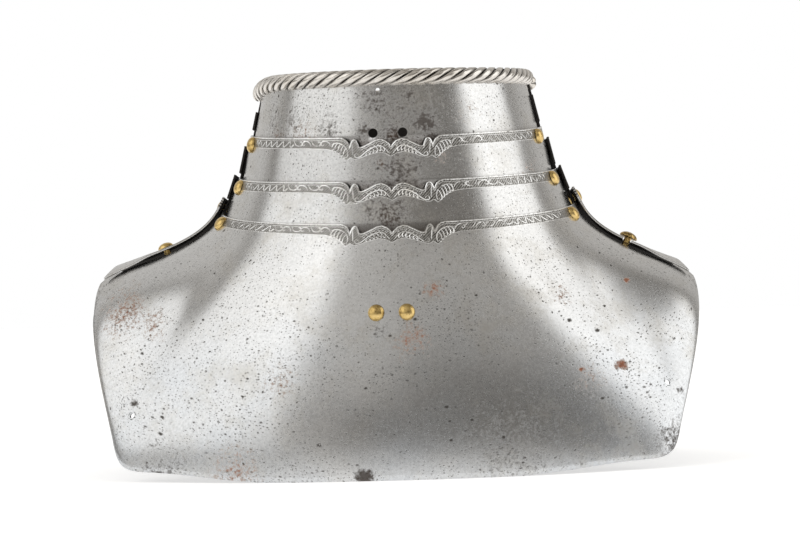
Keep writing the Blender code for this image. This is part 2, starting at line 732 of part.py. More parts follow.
def add_strap_fittings(front, back):
    """The pivot rivet at the wearer's right shoulder and the stud and slot at the left."""
    grip = BACK_OFFSET + SHEET
    hole = SHANK_RADIUS + SEAT_GAP
    seat, axis = strap_seat(-STRAP_MIDDLE)
    for plate in (front, back):
        drill(plate, f"{plate.name}_pivot_hole", seat, axis, hole)
    spacer = (-SHEET - SEAT_GAP, -BACK_OFFSET + SEAT_GAP)
    carry(rivet("shoulder_pivot", seat, axis, grip, spacer=spacer), front)
    seat, axis = strap_seat(STRAP_MIDDLE)
    drill(front, "front_plate_stud_hole", seat, axis, hole)
    carry(rivet("shoulder_stud", seat, axis, grip, STUD_RADIUS, STUD_STAND), front)
    cut_slot(back, seat, axis, SHANK_RADIUS + SLOT_CLEAR)


def cut_slot(back, centre, axis, radius):
    """The open slot that slides over the stud, from the strap's front edge to its round end."""
    reach = 20.0 * SHEET
    frame = Vector((0.0, 0.0, 1.0)).rotation_difference(axis).to_matrix().to_4x4()
    place = Matrix.Translation(centre) @ frame
    half_turn = evenly(0.0, math.pi, RIVET_SIDES // 2)
    line = [Vector((radius * math.cos(a), radius * math.sin(a), 0.0)) for a in half_turn]
    line += [Vector((-radius, -reach, 0.0)), Vector((radius, -reach, 0.0))]
    half = Vector((0.0, 0.0, 2.5 * SHEET))
    points = [place @ (p - half) for p in line] + [place @ (p + half) for p in line]
    count = len(line)
    faces = [tuple(range(count)), tuple(range(2 * count - 1, count - 1, -1))]
    for k in range(count):
        after = (k + 1) % count
        faces.append((k, after, after + count, k + count))
    combine(back, add_object("stud_slot", points, faces), "DIFFERENCE")


def on_front_plate(across, height):
    """Point and outward direction on the front plate's chest, found by its x and z."""
    around, down = math.copysign(0.5 * STRAP_MIDDLE, across), 0.5
    reach = 0.5 * STRAP_MIDDLE
    for _ in range(9):
        found = []
        for sideways in evenly(-reach, reach, 8):
            for lower in evenly(-2.0 * reach, 2.0 * reach, 8):
                place = (around + sideways, min(max(down + lower, 0.0), 1.0))
                point = main_surface(*place)
                found.append((math.hypot(point.x - across, point.z - height), place))
        around, down = min(found)[1]
        reach *= 0.4
    return main_surface(around, down), outward(main_surface, around, down)


def add_chest_rivets(front):
    """The pair of rivets in the middle of the front plate."""
    for end, sign in (("right", -1.0), ("left", 1.0)):
        across = CHEST_RIVET_SHIFT + 0.5 * sign * CHEST_RIVET_SPACING
        seat, axis = on_front_plate(across, CHEST_RIVET_HEIGHT)
        name = f"chest_rivet_{end}"
        drill(front, f"{name}_hole", seat, axis, SHANK_RADIUS + SEAT_GAP)
        carry(rivet(name, seat, axis, SHEET), front)


def add_open_holes(front, collar):
    """The holes that the photograph shows with nothing in them."""
    ahead = Vector((0.0, -1.0, 0.0))
    for number, hole in enumerate(SIDE_HOLES):
        place = (hole.across * HALF_WIDTH, hole.height * SHOULDER_HEIGHT)
        centre, axis = on_front_plate(*place)
        drill(front, f"side_hole_{number}", centre, axis, SIDE_HOLE_RADIUS)
    for sign in (-1.0, 1.0):
        depth = NECK_DEPTH * 1.05
        across = NECK_SHIFT + COLLAR_HOLE_SHIFT + 0.5 * sign * COLLAR_HOLE_SPACING
        centre = Vector((across, -depth, NECK_HEIGHT - COLLAR_HOLE_DROP))
        label = "collar_hole_right" if sign < 0.0 else "collar_hole_left"
        drill(collar, label, centre, ahead, COLLAR_HOLE_RADIUS, 0.4 * NECK_DEPTH)
        strap = Vector((sign * STRAP_HOLE_OUT, -STRAP_HOLE_SET, SHOULDER_HEIGHT * 1.15))
        label = "strap_hole_right" if sign < 0.0 else "strap_hole_left"
        lean = Vector((0.35 * sign, -0.2, 1.0)).normalized()
        drill(front, label, strap, lean, STRAP_HOLE_RADIUS, 20.0 * SHEET)
    for number, across in enumerate(RIM_HOLES_AT):
        turn = math.asin(across / NECK_HALF_WIDTH)
        out = Vector((math.sin(turn), -math.cos(turn), 0.0))
        centre = out * NECK_DEPTH + Vector((NECK_SHIFT, 0.0, NECK_HEIGHT - RIM_HOLE_DROP))
        drill(collar, f"rim_hole_{number}", centre, out, RIM_HOLE_RADIUS)


def main():
    clear_scene()
    front_plate, back_plate = build_plates()
    front = {"plate": front_plate, "collar": build_collar("front", FRONT_EDGES, -1.0)}
    back = {"plate": back_plate, "collar": build_collar("back", BACK_EDGES, 1.0)}
    for name in ("upper_lame", "lower_lame"):
        front[name] = build_lame("front", FRONT_EDGES, -1.0, name)
        back[name] = build_lame("back", BACK_EDGES, 1.0, name)
    for plates in (front, back):
        for upper in ("collar", "upper_lame", "lower_lame"):
            carry(plates[upper], plates[plate_below(FRONT_EDGES, upper)])
    carry(back_plate, front_plate)
    add_neck_rivets("front", FRONT_EDGES, -1.0, front)
    add_neck_rivets("back", BACK_EDGES, 1.0, back)
    add_strap_fittings(front_plate, back_plate)
    add_chest_rivets(front_plate)
    add_open_holes(front_plate, front["collar"])


main()
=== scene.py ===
# Looks of the steel gorget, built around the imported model. Every size is in metres.
# The wearer looks along -Y and the plates stand on z = 0.

import json
import math

import bpy
import numpy as np
from mathutils import Matrix, Vector


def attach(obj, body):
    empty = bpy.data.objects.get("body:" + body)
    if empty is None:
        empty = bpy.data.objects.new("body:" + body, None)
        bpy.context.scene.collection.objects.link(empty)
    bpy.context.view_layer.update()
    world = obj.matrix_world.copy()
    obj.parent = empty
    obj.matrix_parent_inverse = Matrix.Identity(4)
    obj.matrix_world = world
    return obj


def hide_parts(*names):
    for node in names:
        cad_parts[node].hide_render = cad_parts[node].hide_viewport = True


mm = 0.001
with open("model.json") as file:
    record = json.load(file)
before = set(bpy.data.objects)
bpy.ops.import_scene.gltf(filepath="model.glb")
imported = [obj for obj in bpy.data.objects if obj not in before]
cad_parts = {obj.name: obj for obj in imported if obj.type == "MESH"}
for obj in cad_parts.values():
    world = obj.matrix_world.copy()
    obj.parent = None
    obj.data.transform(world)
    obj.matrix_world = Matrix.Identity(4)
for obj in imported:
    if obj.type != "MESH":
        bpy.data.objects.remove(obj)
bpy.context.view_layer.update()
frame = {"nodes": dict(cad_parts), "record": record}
bodyOf = {
    node: body
    for body, members in frame["record"]["behaviour"]["bodies"].items()
    for node in members
}
print("frame loaded:", len(frame["nodes"]), "nodes")

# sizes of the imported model, which the finer sheets follow

neck = {
    "halfWidth": 70.7 * mm,
    "depth": 74.0 * mm,
    "height": 207.5 * mm,
    "shift": 2.2 * mm,  # the neck stands this far to the wearer's left
    "flareMid": math.radians(14),
    "flareSide": math.radians(28),
    "handle": 25.0 * mm,
}
plates = {
    "halfWidth": 161.0 * mm,
    "halfDepth": 124.0 * mm,
    "shoulderHeight": 106.5 * mm,
    "leftDrop": 5.5 * mm,
    "thickness": 1.2 * mm,
    "step": 2.3 * mm,  # outer face to outer face of two plates that slide over each other
    "strapStep": 3.8 * mm,  # the same at the shoulder straps
    "lap": 11.0 * mm,
    "lapLean": 2.8 * mm,
    "backRise": 7.5 * mm,
    "sideLap": 4.0 * mm,
    "lapSetBack": 2.6 * mm,
    "edgeClear": 3.2 * mm,
    "strapMiddle": 0.5,
    "frontReach": 0.53,
    "backReach": 0.46,
    "strapTrimFrom": 0.74,
    "strapTrim": 0.12,
    "backTrim": 0.07,
    "backTrimWidth": 0.14,
    "seatShare": 0.7,
    "bevel": 0.22 * mm,
}
# top edges: height at the side and middle, half width and depth, as shares of the neck's
frontEdges = {
    "collar": (1.000, 0.990, 1.000, 1.000),
    "upper_lame": (0.871, 0.841, 1.115, 1.074),
    "lower_lame": (0.761, 0.730, 1.214, 1.135),
    "plate": (0.672, 0.624, 1.351, 1.209),
}
backEdges = {
    "collar": (0.990, 0.978, 1.033, 1.014),
    "upper_lame": (0.843, 0.824, 1.168, 1.108),
    "lower_lame": (0.769, 0.733, 1.253, 1.180),
}
halves = (("front", frontEdges, -1), ("back", backEdges, 1))
lames = ("upper_lame", "lower_lame")
# rays of the main plates, from the front centre over the shoulder to the back centre
rayColumns = ("around", "turn", "outX", "outY", "outZ", "leanX", "leanY", "leanZ")
rayRows = (
    (0.000, 0.0, 0.000, -1.000, -0.012, 0.00, 0.000, 0.46),
    (0.100, 17.5, 0.280, -0.972, -0.010, 0.00, 0.000, 0.46),
    (0.200, 36.0, 0.570, -0.870, 0.020, 0.00, 0.005, 0.46),
    (0.270, 50.0, 0.785, -0.745, 0.048, 0.00, 0.010, 0.44),
    (0.305, 56.0, 0.885, -0.670, 0.085, 0.00, 0.020, 0.40),
    (0.330, 60.0, 0.915, -0.615, 0.200, 0.00, 0.030, 0.37),
    (0.370, 67.0, 0.955, -0.510, 0.430, 0.00, 0.040, 0.33),
    (0.415, 76.5, 0.998, -0.330, 0.740, -0.03, 0.060, 0.24),
    (0.460, 86.8, 0.998, -0.125, 0.950, -0.13, 0.040, 0.13),
    (0.500, 90.0, 0.975, 0.000, 1.000, -0.20, 0.000, 0.11),
    (0.540, 93.2, 0.960, 0.125, 0.950, -0.13, -0.040, 0.13),
    (0.585, 103.5, 0.945, 0.330, 0.740, -0.03, -0.060, 0.24),
    (0.630, 113.0, 0.905, 0.510, 0.430, 0.00, -0.040, 0.33),
    (0.670, 120.0, 0.860, 0.615, 0.200, 0.00, -0.030, 0.37),
    (0.695, 124.0, 0.828, 0.670, 0.085, 0.00, -0.020, 0.40),
    (0.730, 130.0, 0.740, 0.745, 0.048, 0.00, -0.010, 0.44),
    (0.800, 144.0, 0.540, 0.870, 0.020, 0.00, -0.005, 0.46),
    (0.900, 162.5, 0.270, 0.972, -0.010, 0.00, 0.000, 0.46),
    (1.000, 180.0, 0.000, 1.000, -0.012, 0.00, 0.000, 0.46),
)


def mirroredRays():
    # a few rays are mirrored past both centres, so that the surface is smooth there
    odd = np.array([-1, -1, -1, 1, 1, -1, 1, 1.0])
    rows = np.array(rayRows)
    before = rows[4:0:-1] * odd
    after = rows[-2:-6:-1] * odd
    after[:, 0] += 2.0
    after[:, 1] += 360.0
    return np.concatenate([before, rows, after])


rays = mirroredRays()


def naturalSpline(keys, values):
    count = len(keys)
    rows = np.eye(count)
    known = np.zeros(count)
    for i in range(1, count - 1):
        before, after = keys[i] - keys[i - 1], keys[i + 1] - keys[i]
        rows[i, i - 1 : i + 2] = (before, 2 * (before + after), after)
        known[i] = 6 * ((values[i + 1] - values[i]) / after - (values[i] - values[i - 1]) / before)
    return np.linalg.solve(rows, known)


rayBends = {
    name: naturalSpline(rays[:, 0], rays[:, i]) for i, name in enumerate(rayColumns) if i
}


def splineAt(keys, values, bends, at):
    i = np.clip(np.searchsorted(keys, at) - 1, 0, len(keys) - 2)
    width = keys[i + 1] - keys[i]
    b = (at - keys[i]) / width
    a = 1 - b
    curve = (a**3 - a) * bends[i] + (b**3 - b) * bends[i + 1]
    return a * values[i] + b * values[i + 1] + curve * width**2 / 6


def alongRays(name, around):
    return splineAt(rays[:, 0], rays[:, rayColumns.index(name)], rayBends[name], around)


def lengthAlong(points):
    # length from the first point to each of a line, or of many lines
    steps = np.linalg.norm(np.diff(points, axis=-2), axis=-1)
    return np.concatenate([0 * steps[..., :1], np.cumsum(steps, axis=-1)], axis=-1)


def pointsOf(x, y, z):
    return np.stack(np.broadcast_arrays(x, y, z), axis=-1).astype(float)


def unit(vectors):
    return vectors / np.linalg.norm(vectors, axis=-1, keepdims=True)


def edgePoint(edge, facing, turn):
    sideHeight, midHeight, halfWidth, depth = edge
    rise = (sideHeight - midHeight) * np.minimum(1 - np.cos(turn), 1)
    return pointsOf(
        halfWidth * neck["halfWidth"] * np.sin(turn) + neck["shift"],
        facing * depth * neck["depth"] * np.cos(turn),
        (midHeight + rise) * neck["height"],
    )


def mainSurface(around, down):
    # outer face of the front plate; down runs from the neck edge (0) to the rim (1)
    around, down = np.broadcast_arrays(np.asarray(around, float), np.asarray(down, float))
    mirror = np.where(around < 0, -1.0, 1.0)
    away = np.abs(around)
    turn = np.radians(alongRays("turn", away))
    inFront = away <= plates["strapMiddle"]
    edge = frontEdges["plate"]
    start = np.where(
        inFront[..., None], edgePoint(edge, -1, turn), edgePoint(edge, 1, math.pi - turn)
    )
    start[..., 0] -= neck["shift"]
    flare = neck["flareMid"] + (neck["flareSide"] - neck["flareMid"]) * np.sin(turn) ** 2
    handle = pointsOf(np.sin(turn) * np.sin(flare), -np.cos(turn) * np.sin(flare), -np.cos(flare))
    footDepth = np.where(inFront, plates["halfDepth"], plates["halfDepth"] - plates["strapStep"])
    reach = pointsOf(plates["halfWidth"], footDepth, plates["shoulderHeight"])
    end = pointsOf(*[alongRays("out" + axis, away) for axis in "XYZ"]) * reach
    end[..., 2] = np.maximum(end[..., 2], 0)
    lean = pointsOf(*[alongRays("lean" + axis, away) for axis in "XYZ"]) * reach
    d = down[..., None]
    left = 1 - d
    curve = start * left**3 + (start + handle * neck["handle"]) * (3 * left**2 * d)
    curve = curve + (end + lean) * (3 * left * d**2) + end * d**3
    point = np.where(d < 0, start + handle * (d * plates["backRise"]), curve)
    gone = np.maximum(down, 0)
    point[..., 0] = point[..., 0] * mirror + neck["shift"] * (1 - gone) ** 2
    sunk = plates["leftDrop"] * gone * np.maximum(alongRays("outZ", away), 0)
    point[..., 2] -= np.where(mirror > 0, sunk, 0)
    return point


def outward(surface, across, down):
    across, down = np.broadcast_arrays(np.asarray(across, float), np.asarray(down, float))
    small = 1e-4
    sideways = surface(across + small, down) - surface(across - small, down)
    low = np.minimum(down + small, 1)
    downwards = surface(across, low) - surface(across, low - 2 * small)
    normal = unit(np.cross(sideways, downwards))
    point = surface(across, down)
    point[..., 2] = plates["halfWidth"]
    away = np.sum(point * normal, axis=-1)
    return normal * np.where(away > 0, 1.0, -1.0)[..., None]


def backSurface(around, down):
    return mainSurface(around, down) + outward(mainSurface, around, down) * plates["strapStep"]


aroundTable = np.linspace(0, 1, 4001)
turnTable = alongRays("turn", aroundTable)


def aroundAt(turn, facing):
    wanted = np.degrees(turn if facing < 0 else math.pi - turn)
    return np.interp(wanted, turnTable, aroundTable)


def plateBelow(edges, name):
    names = list(edges) + ["plate"]
    return names[names.index(name) + 1]


def edgeOf(edges, facing, name, turn):
    if name in edges:
        return edgePoint(edges[name], facing, turn)
    return backSurface(np.copysign(aroundAt(np.abs(turn), 1), turn), -1.0)


def levelOut(turn, facing):
    return pointsOf(np.sin(turn), facing * np.cos(turn), 0.0)


def belowEdge(edges, facing, name, turn, drop):
    if name == "plate":
        around = np.copysign(aroundAt(np.abs(turn), facing), turn)
        if facing < 0:
            return mainSurface(around, drop / (3 * neck["handle"]))
        rise = plates["backRise"]
        down = np.where(drop < rise, drop / rise - 1, (drop - rise) / (3 * neck["handle"]))
        return backSurface(around, down)
    top = edgePoint(edges[name], facing, turn)
    seat = edgeOf(edges, facing, plateBelow(edges, name), turn)
    seat = seat - levelOut(turn, facing) * plates["step"]
    return top + unit(seat - top) * np.asarray(drop)[..., None]


def insideOf(edges, facing, name, turn, drop, way):
    # a point this way inside a plate, square to its face
    point = belowEdge(edges, facing, name, turn, drop)
    fall = unit(belowEdge(edges, facing, name, turn, drop + mm) - point)
    flat = levelOut(turn, facing)
    square = -flat * fall[..., 2:] + pointsOf(0, 0, np.sum(fall * flat, axis=-1))
    return point - square * np.asarray(way)[..., None]


def neckSurface(edges, facing, name, turn, down):
    turn, down = np.broadcast_arrays(np.asarray(turn, float), np.asarray(down, float))
    carrier = plateBelow(edges, name)
    share = plates["seatShare"]
    seat = insideOf(edges, facing, carrier, turn, 0.0, plates["step"] + 0 * turn)
    lean = plates["step"] + plates["lapLean"] * np.cos(turn) ** 2
    foot = insideOf(edges, facing, carrier, turn, plates["lap"], lean)
    top = edgeOf(edges, facing, name, turn)
    wall = (down / share)[..., None]
    lap = ((down - share) / (1 - share))[..., None]
    return np.where(wall <= 1, top + (seat - top) * wall, seat + (foot - seat) * lap)


def turnAt(edge, setBack):
    return math.pi / 2 + math.asin(setBack / (edge[3] * neck["depth"]))


rimBend = {"droop": 5.0 * mm, "spread": 2.4 * mm, "from": math.radians(-58), "share": 0.2}


def collarSurface(edges, facing, turn, down):
    point = neckSurface(edges, facing, "collar", turn, down)
    if facing < 0:
        gone = (np.asarray(turn) - rimBend["from"]) / (-math.pi / 2 - rimBend["from"])
        share = np.clip(gone, 0, 1) ** 2 * np.maximum(1 - down / rimBend["share"], 0)
        bend = np.array([-rimBend["spread"], 0.0, -rimBend["droop"]])
        point = point + share[..., None] * bend
    return point


def trimmedFront(around, down):
    past = np.maximum(down - plates["strapTrimFrom"], 0) / (1 - plates["strapTrimFrom"])
    return mainSurface(around * (1 - plates["strapTrim"] * past * past), down)


# how deep a strap's corner dips, from how far round and out, and over what width
dips = {
    "front": {
        "depth": 0.45 * mm, "turn": 0.475, "turnOver": 0.012, "out": 138 * mm, "outOver": 8 * mm,
    },
    "back": {
        "depth": 1.5 * mm, "turn": 0.495, "turnOver": 0.04, "out": 132 * mm, "outOver": 14 * mm,
    },
}


def dipped(surface, around, down, turned, out, dip):
    share = np.clip((turned - dip["turn"]) / dip["turnOver"], 0, 1)
    share = share * np.clip((out - dip["out"]) / dip["outOver"], 0, 1)
    share = share * share * (3 - 2 * share)
    return outward(surface, around, down) * (dip["depth"] * share)[..., None]


def easedFront(around, down):
    # by the pivot the strap's outer corner dips under the back strap, which swings over it
    place = trimmedFront(around, down)
    turned, out = np.abs(around), -place[..., 0]
    return place - dipped(trimmedFront, around, down, turned, out, dips["front"])


def pastBackCentre(around, down):
    past = (1 - np.abs(around - 1) - plates["strapMiddle"]) / plates["backTrimWidth"]
    trim = plates["backTrim"] * np.maximum(1 - past * past, 0) ** 2 * (down > 0)
    return backSurface(np.where(around <= 1, around, around - 2), down * (1 - trim))


def easedBack(around, down):
    # the back strap's outer tips bend down towards the front plate
    place = pastBackCentre(around, down)
    turned, out = np.abs(around - 1), np.abs(place[..., 0])
    return place - dipped(pastBackCentre, around, down, turned, out, dips["back"])


# cusped edge and etched border of each lower plate

border = {
    # distance from the middle and depth of the cusped edge below the straight one
    "edgeAt": np.array([0, 1.4, 3.0, 5.4, 7.8, 10.5, 13.5, 15.5, 16.9, 17.5, 18.4, 19.4, 20.5,
                        21.2, 21.7, 22.4, 23.5, 25.1, 27.0]) * mm,
    "edgeDepth": np.array([5.3, 3.2, 1.8, 0.95, 1.4, 2.8, 4.4, 5.2, 5.0, 3.2, 1.4, 0.85, 1.7,
                           3.4, 5.3, 3.3, 1.6, 0.5, 0.0]) * mm,
    # the same for the border's lower line
    "footAt": np.array([0, 1.5, 3.0, 6.5, 11.6, 16.0, 18.0, 19.6, 20.8, 22.8, 24.0, 26.0, 28.5,
                        31.0, 35.0, 45.0]) * mm,
    "footDepth": np.array([10.4, 9.5, 8.7, 8.0, 9.3, 11.0, 11.6, 11.3, 10.4, 12.2, 11.2, 9.4, 7.9,
                           6.8, 6.0, 5.7]) * mm,
    "rows": 10,
    "fineHalf": 27.5 * mm,  # half of the middle that is laid in narrow columns
}


def smoothed(values, rounds):
    for _ in range(rounds):
        values = np.convolve(np.pad(values, 1, mode="edge"), (0.25, 0.5, 0.25), mode="valid")
    return values


borderGrid = np.linspace(0, 60 * mm, 601)
edgeGrid = smoothed(np.interp(borderGrid, border["edgeAt"], border["edgeDepth"]), 6)
edgeGrid[:4] = np.interp(borderGrid[:4], border["edgeAt"], border["edgeDepth"])
footGrid = smoothed(np.interp(borderGrid, border["footAt"], border["footDepth"]), 4)


def cuspDepth(across):
    return np.interp(np.abs(across), borderGrid, edgeGrid)


def footDepth(across):
    return np.interp(np.abs(across), borderGrid, footGrid)


class Plate:
    # one sheet: its surface, its columns, and the downs of each column's top, seat and foot
    def __init__(self, name, surface, columns, downs, cusped, rows):
        self.name, self.surface, self.columns, self.downs = name, surface, columns, downs
        self.cusped, self.rows = cusped, rows
        self.across = self.place(columns, downs[:, 0])
        if cusped:
            self.tops = self.downAt(columns, cuspDepth(self.across), downs[:, 0])
            self.feet = self.downAt(columns, footDepth(self.across), downs[:, 0])

    def place(self, columns, downs):
        # signed length along the top edge from its middle
        points = self.surface(columns, downs)
        length = lengthAlong(points)
        middle = np.interp(self.middle(), columns, length)
        return length - middle

    def middle(self):
        return 1.0 if self.name == "back_plate" else 0.0

    def downAt(self, columns, depth, start):
        # the down at which the sheet lies this far below the column's top
        tries = np.linspace(0, 1, 60) ** 1.3
        downs = start[:, None] + (0.7 - start[:, None]) * tries[None, :]
        points = self.surface(columns[:, None], downs)
        length = lengthAlong(points)
        return np.array([np.interp(d, length[i], downs[i]) for i, d in enumerate(depth)])

    def borderPoint(self, across, depth, height):
        # a point of the ornament: across and below the straight edge, and off the surface
        columns = np.interp(across, self.across, self.columns)
        start = np.interp(across, self.across, self.downs[:, 0])
        downs = self.downAt(columns, depth, start)
        points = self.surface(columns, downs)
        return points + outward(self.surface, columns, downs) * np.asarray(height)[:, None]


def deselectAll():
    for item in bpy.context.selected_objects:
        item.select_set(False)


def makeActive(*items):
    deselectAll()
    for item in items:
        item.select_set(True)
    bpy.context.view_layer.objects.active = items[0]


def applyModifier(item, kind, **settings):
    makeActive(item)
    modifier = item.modifiers.new(kind.lower(), kind)
    for key, value in settings.items():
        setattr(modifier, key, value)
    bpy.ops.object.modifier_apply(modifier=modifier.name)


def gridPiece(name, points, measure):
    # a grid of as many faces, whose corners are laid on the sheet; measure becomes its UV map
    wide, tall = points.shape[:2]
    deselectAll()
    bpy.ops.mesh.primitive_grid_add(
        x_subdivisions=wide - 1, y_subdivisions=tall - 1, size=1, calc_uvs=True
    )
    piece = bpy.context.active_object
    piece.name = piece.data.name = name
    inOrder = np.swapaxes(points, 0, 1).reshape(-1, 3)
    piece.data.vertices.foreach_set("co", inOrder.ravel().astype(np.float32))
    corner = np.zeros(len(piece.data.loops), np.int32)
    piece.data.loops.foreach_get("vertex_index", corner)
    flat = np.swapaxes(measure, 0, 1).reshape(-1, 2)[corner]
    piece.data.uv_layers[0].data.foreach_set("uv", flat.ravel().astype(np.float32))
    piece.data.update()
    return piece


def markPoints(piece, name, values):
    # a value at every corner of a grid piece, for its material to read
    marked = piece.data.attributes.new(name, "FLOAT", "POINT")
    marked.data.foreach_set("value", values.T.ravel().astype(np.float32))


def rowDowns(plate):
    # downs of every column: the border's rows, then to the seat, then to the foot
    wallRows, lapRows = plate.rows
    table = []
    for i, (top, seat, foot) in enumerate(plate.downs):
        if plate.cusped:
            a = plate.tops[i]
            b = min(plate.feet[i], a + 0.9 * (seat - a))
            upper = np.linspace(a, b, border["rows"] + 1)
        else:
            b, upper = top, np.array([top])
        wall = np.linspace(b, seat, wallRows + 1)[1:]
        lap = np.linspace(seat, foot, lapRows + 1)[1:]
        table.append(np.concatenate([upper, wall, lap]))
    return np.array(table)


def makeSheet(plate, finishes, rimOffset=0):
    downs = rowDowns(plate)
    across = np.repeat(plate.columns[:, None], downs.shape[1], axis=1)
    points = plate.surface(across, downs)
    fall = lengthAlong(points)
    if plate.cusped:
        fall = fall + cuspDepth(plate.across)[:, None]
    measure = np.stack([np.repeat(plate.across[:, None], downs.shape[1], axis=1), fall], axis=-1)
    piece = gridPiece(plate.name + "_sheet", points, measure)
    seats, feet = plate.downs[:, 1:2], plate.downs[:, 2:3]
    # painted shade, darker from just above where the next plate covers it, which nothing does to a
    # main plate
    tuckShade = np.clip(5 * (downs - seats + 0.04) / (feet - seats + 0.04), 0, 1)
    markPoints(piece, "tuckShade", 0 * tuckShade if "plate" in plate.name else tuckShade)
    middle = len(plate.columns) // 2
    face = piece.data.polygons[5 * (len(plate.columns) - 1) + middle]
    normal = outward(plate.surface, plate.columns[middle : middle + 1], downs[middle, 5:6])[0]
    if face.normal.dot(Vector(normal)) < 0:
        piece.data.flip_normals()
    for finish in finishes:
        piece.data.materials.append(finish)
    if plate.cusped:
        slots = np.zeros(len(piece.data.polygons), np.int32)
        slots[: border["rows"] * (len(plate.columns) - 1)] = 1
        piece.data.polygons.foreach_set("material_index", slots)
    applyModifier(
        piece, "SOLIDIFY", thickness=plates["thickness"], offset=-1.0, use_even_offset=True,
        material_offset=2, material_offset_rim=rimOffset,
    )
    applyModifier(
        piece, "BEVEL", width=plates["bevel"], segments=2, limit_method="ANGLE",
        angle_limit=math.radians(55), use_clamp_overlap=False,
    )
    return piece


def cutRound(piece, centre, axis, radius, length, sides=32):
    deselectAll()
    turned = Vector((0, 0, 1)).rotation_difference(Vector(axis)).to_euler()
    bpy.ops.mesh.primitive_cylinder_add(
        vertices=sides, radius=radius, depth=length, location=centre, rotation=turned
    )
    cutAway(piece, bpy.context.active_object)


def cutAway(piece, cutter):
    applyModifier(piece, "BOOLEAN", object=cutter, operation="DIFFERENCE", solver="EXACT")
    bpy.data.objects.remove(cutter)


def smoothPiece(piece, angle=40):
    makeActive(piece)
    bpy.ops.object.shade_smooth_by_angle(angle=math.radians(angle))


def evenly(low, high, count):
    return np.linspace(low, high, count + 1)


def denseColumns(end, dense, sideCount, denseCount):
    left = evenly(-end, -dense, sideCount)[:-1]
    return np.concatenate([left, evenly(-dense, dense, denseCount), -left[::-1]])


def lameColumns(edges, facing, name, lowered=None):
    # columns of a neck plate, with the downs of each one's top, seat and foot
    edge, share = edges[name], plates["seatShare"]
    end = turnAt(edge, plates["sideLap"])
    dense = math.asin(min(border["fineHalf"] / (edge[2] * neck["halfWidth"]), 1))
    if name == "collar":
        dense = 0.1
    count = 20 if name == "collar" else 180
    if facing < 0:
        stop = turnAt(edge, plates["sideLap"] + plates["lapSetBack"] - rimRope["gap"])
        stop = stop if lowered else end
        columns = denseColumns(stop, dense, 80, count)
        sides = evenly(stop + 0.004, end, 3) if lowered else np.array([])
        bottom = 1.0
    else:
        stop = turnAt(edge, -plates["sideLap"] - plates["lapSetBack"])
        columns = denseColumns(stop, dense, 80, count)
        sides = evenly(stop + 0.004, end, 6)
        high = edgePoint(edge, 1, math.pi / 2)[2]
        low = edgeOf(edges, 1, plateBelow(edges, name), np.float64(math.pi / 2))[2]
        below = edgePoint(frontEdges[plateBelow(edges, name)], -1, math.pi / 2)[2]
        bottom = min((high - below - plates["edgeClear"]) / (high - low) * share, share - 0.02)
    columns = np.concatenate([-sides[::-1], columns, sides])
    downs = np.tile((0.0, share, 1.0), (len(columns), 1))
    for i, turn in enumerate(columns):
        if len(sides) and abs(turn) > stop + 0.002:
            top = lowered[int(turn > 0)] if lowered else 0.0
            if facing < 0:
                downs[i] = (top, share, 1.0)
            else:
                downs[i] = (top, top + 0.8 * (bottom - top), bottom)
    return columns, downs


rimRope = {
    "radius": 4.3 * mm,
    "groove": 1.15 * mm,
    "strands": 5,
    "pitch": 7.0 * mm,
    "stand": 0.3 * mm,
    "gap": 5.2 * mm,
    "clear": 3.3 * mm,
    "sides": 40,
    "step": 0.45 * mm,
    "grooveWidth": 0.34,
    "belly": 0.25 * mm,
    "closing": 3.0 * mm,  # the ends close over this length
}


def makeRope(name, edges, facing, low, high):
    size = rimRope
    around = 0.5 * (neck["halfWidth"] + neck["depth"])
    count = round(around * (high - low) / size["step"])
    turns = evenly(low, high, count)
    angles = evenly(0, 2 * math.pi, size["sides"])
    core = collarSurface(edges, facing, turns, np.zeros(count + 1))
    flat = levelOut(turns, facing)
    core = core + flat * size["stand"]
    wound = turns * around / size["pitch"]
    phase = angles[None, :] * size["strands"] + facing * 2 * math.pi * wound[:, None]
    ridge = np.abs(np.sin(0.5 * phase))
    hollow = np.exp(-((ridge / size["grooveWidth"]) ** 2))
    wear = 0.10 * np.sin(7.3 * turns)[:, None] + 0.06 * np.sin(23 * turns + 1)[:, None]
    depth = size["groove"] * (1 + wear)
    reach = size["radius"] - depth * hollow - size["belly"] * (1 - ridge**0.6)
    ends = np.minimum((turns - low), (high - turns)) * around
    closing = 1 - np.clip(ends / size["closing"], 0, 1)
    closing = np.sqrt(np.clip(1 - closing**2, 0.02, 1))
    reach = reach * closing[:, None]
    ring = flat[:, None, :] * np.cos(angles)[None, :, None]
    ring = ring + np.array([0, 0, 1.0]) * np.sin(angles)[None, :, None]
    points = core[:, None, :] + ring * reach[:, :, None]
    measure = np.stack(
        np.broadcast_arrays(turns[:, None] * around, angles[None, :] * size["radius"]), axis=-1
    )
    piece = gridPiece(name, points, measure)
    # the grooves, which the rope's finish darkens with painted shade
    markPoints(piece, "hollow", hollow + 0 * points[..., 0])
    makeActive(piece)
    bpy.ops.object.mode_set(mode="EDIT")
    bpy.ops.mesh.select_all(action="SELECT")
    bpy.ops.mesh.remove_doubles(threshold=1e-6)
    bpy.ops.mesh.select_all(action="DESELECT")
    bpy.ops.mesh.select_non_manifold()
    bpy.ops.mesh.fill_holes(sides=0)
    bpy.ops.mesh.select_all(action="SELECT")
    bpy.ops.mesh.normals_make_consistent(inside=False)
    bpy.ops.object.mode_set(mode="OBJECT")
    return piece


def addNode(tree, kind, **given):
    made = tree.nodes.new("ShaderNode" + kind)
    for key, value in given.items():
        if key in made.inputs:
            made.inputs[key].default_value = value
        else:
            setattr(made, key, value)
    return made


def link(tree, source, target):
    tree.links.new(source, target)


def mathNode(tree, operation, *values, clamp=False):
    made = addNode(tree, "Math", operation=operation, use_clamp=clamp)
    for i, value in enumerate(values):
        if hasattr(value, "is_linked"):
            link(tree, value, made.inputs[i])
        else:
            made.inputs[i].default_value = value
    return made.outputs[0]


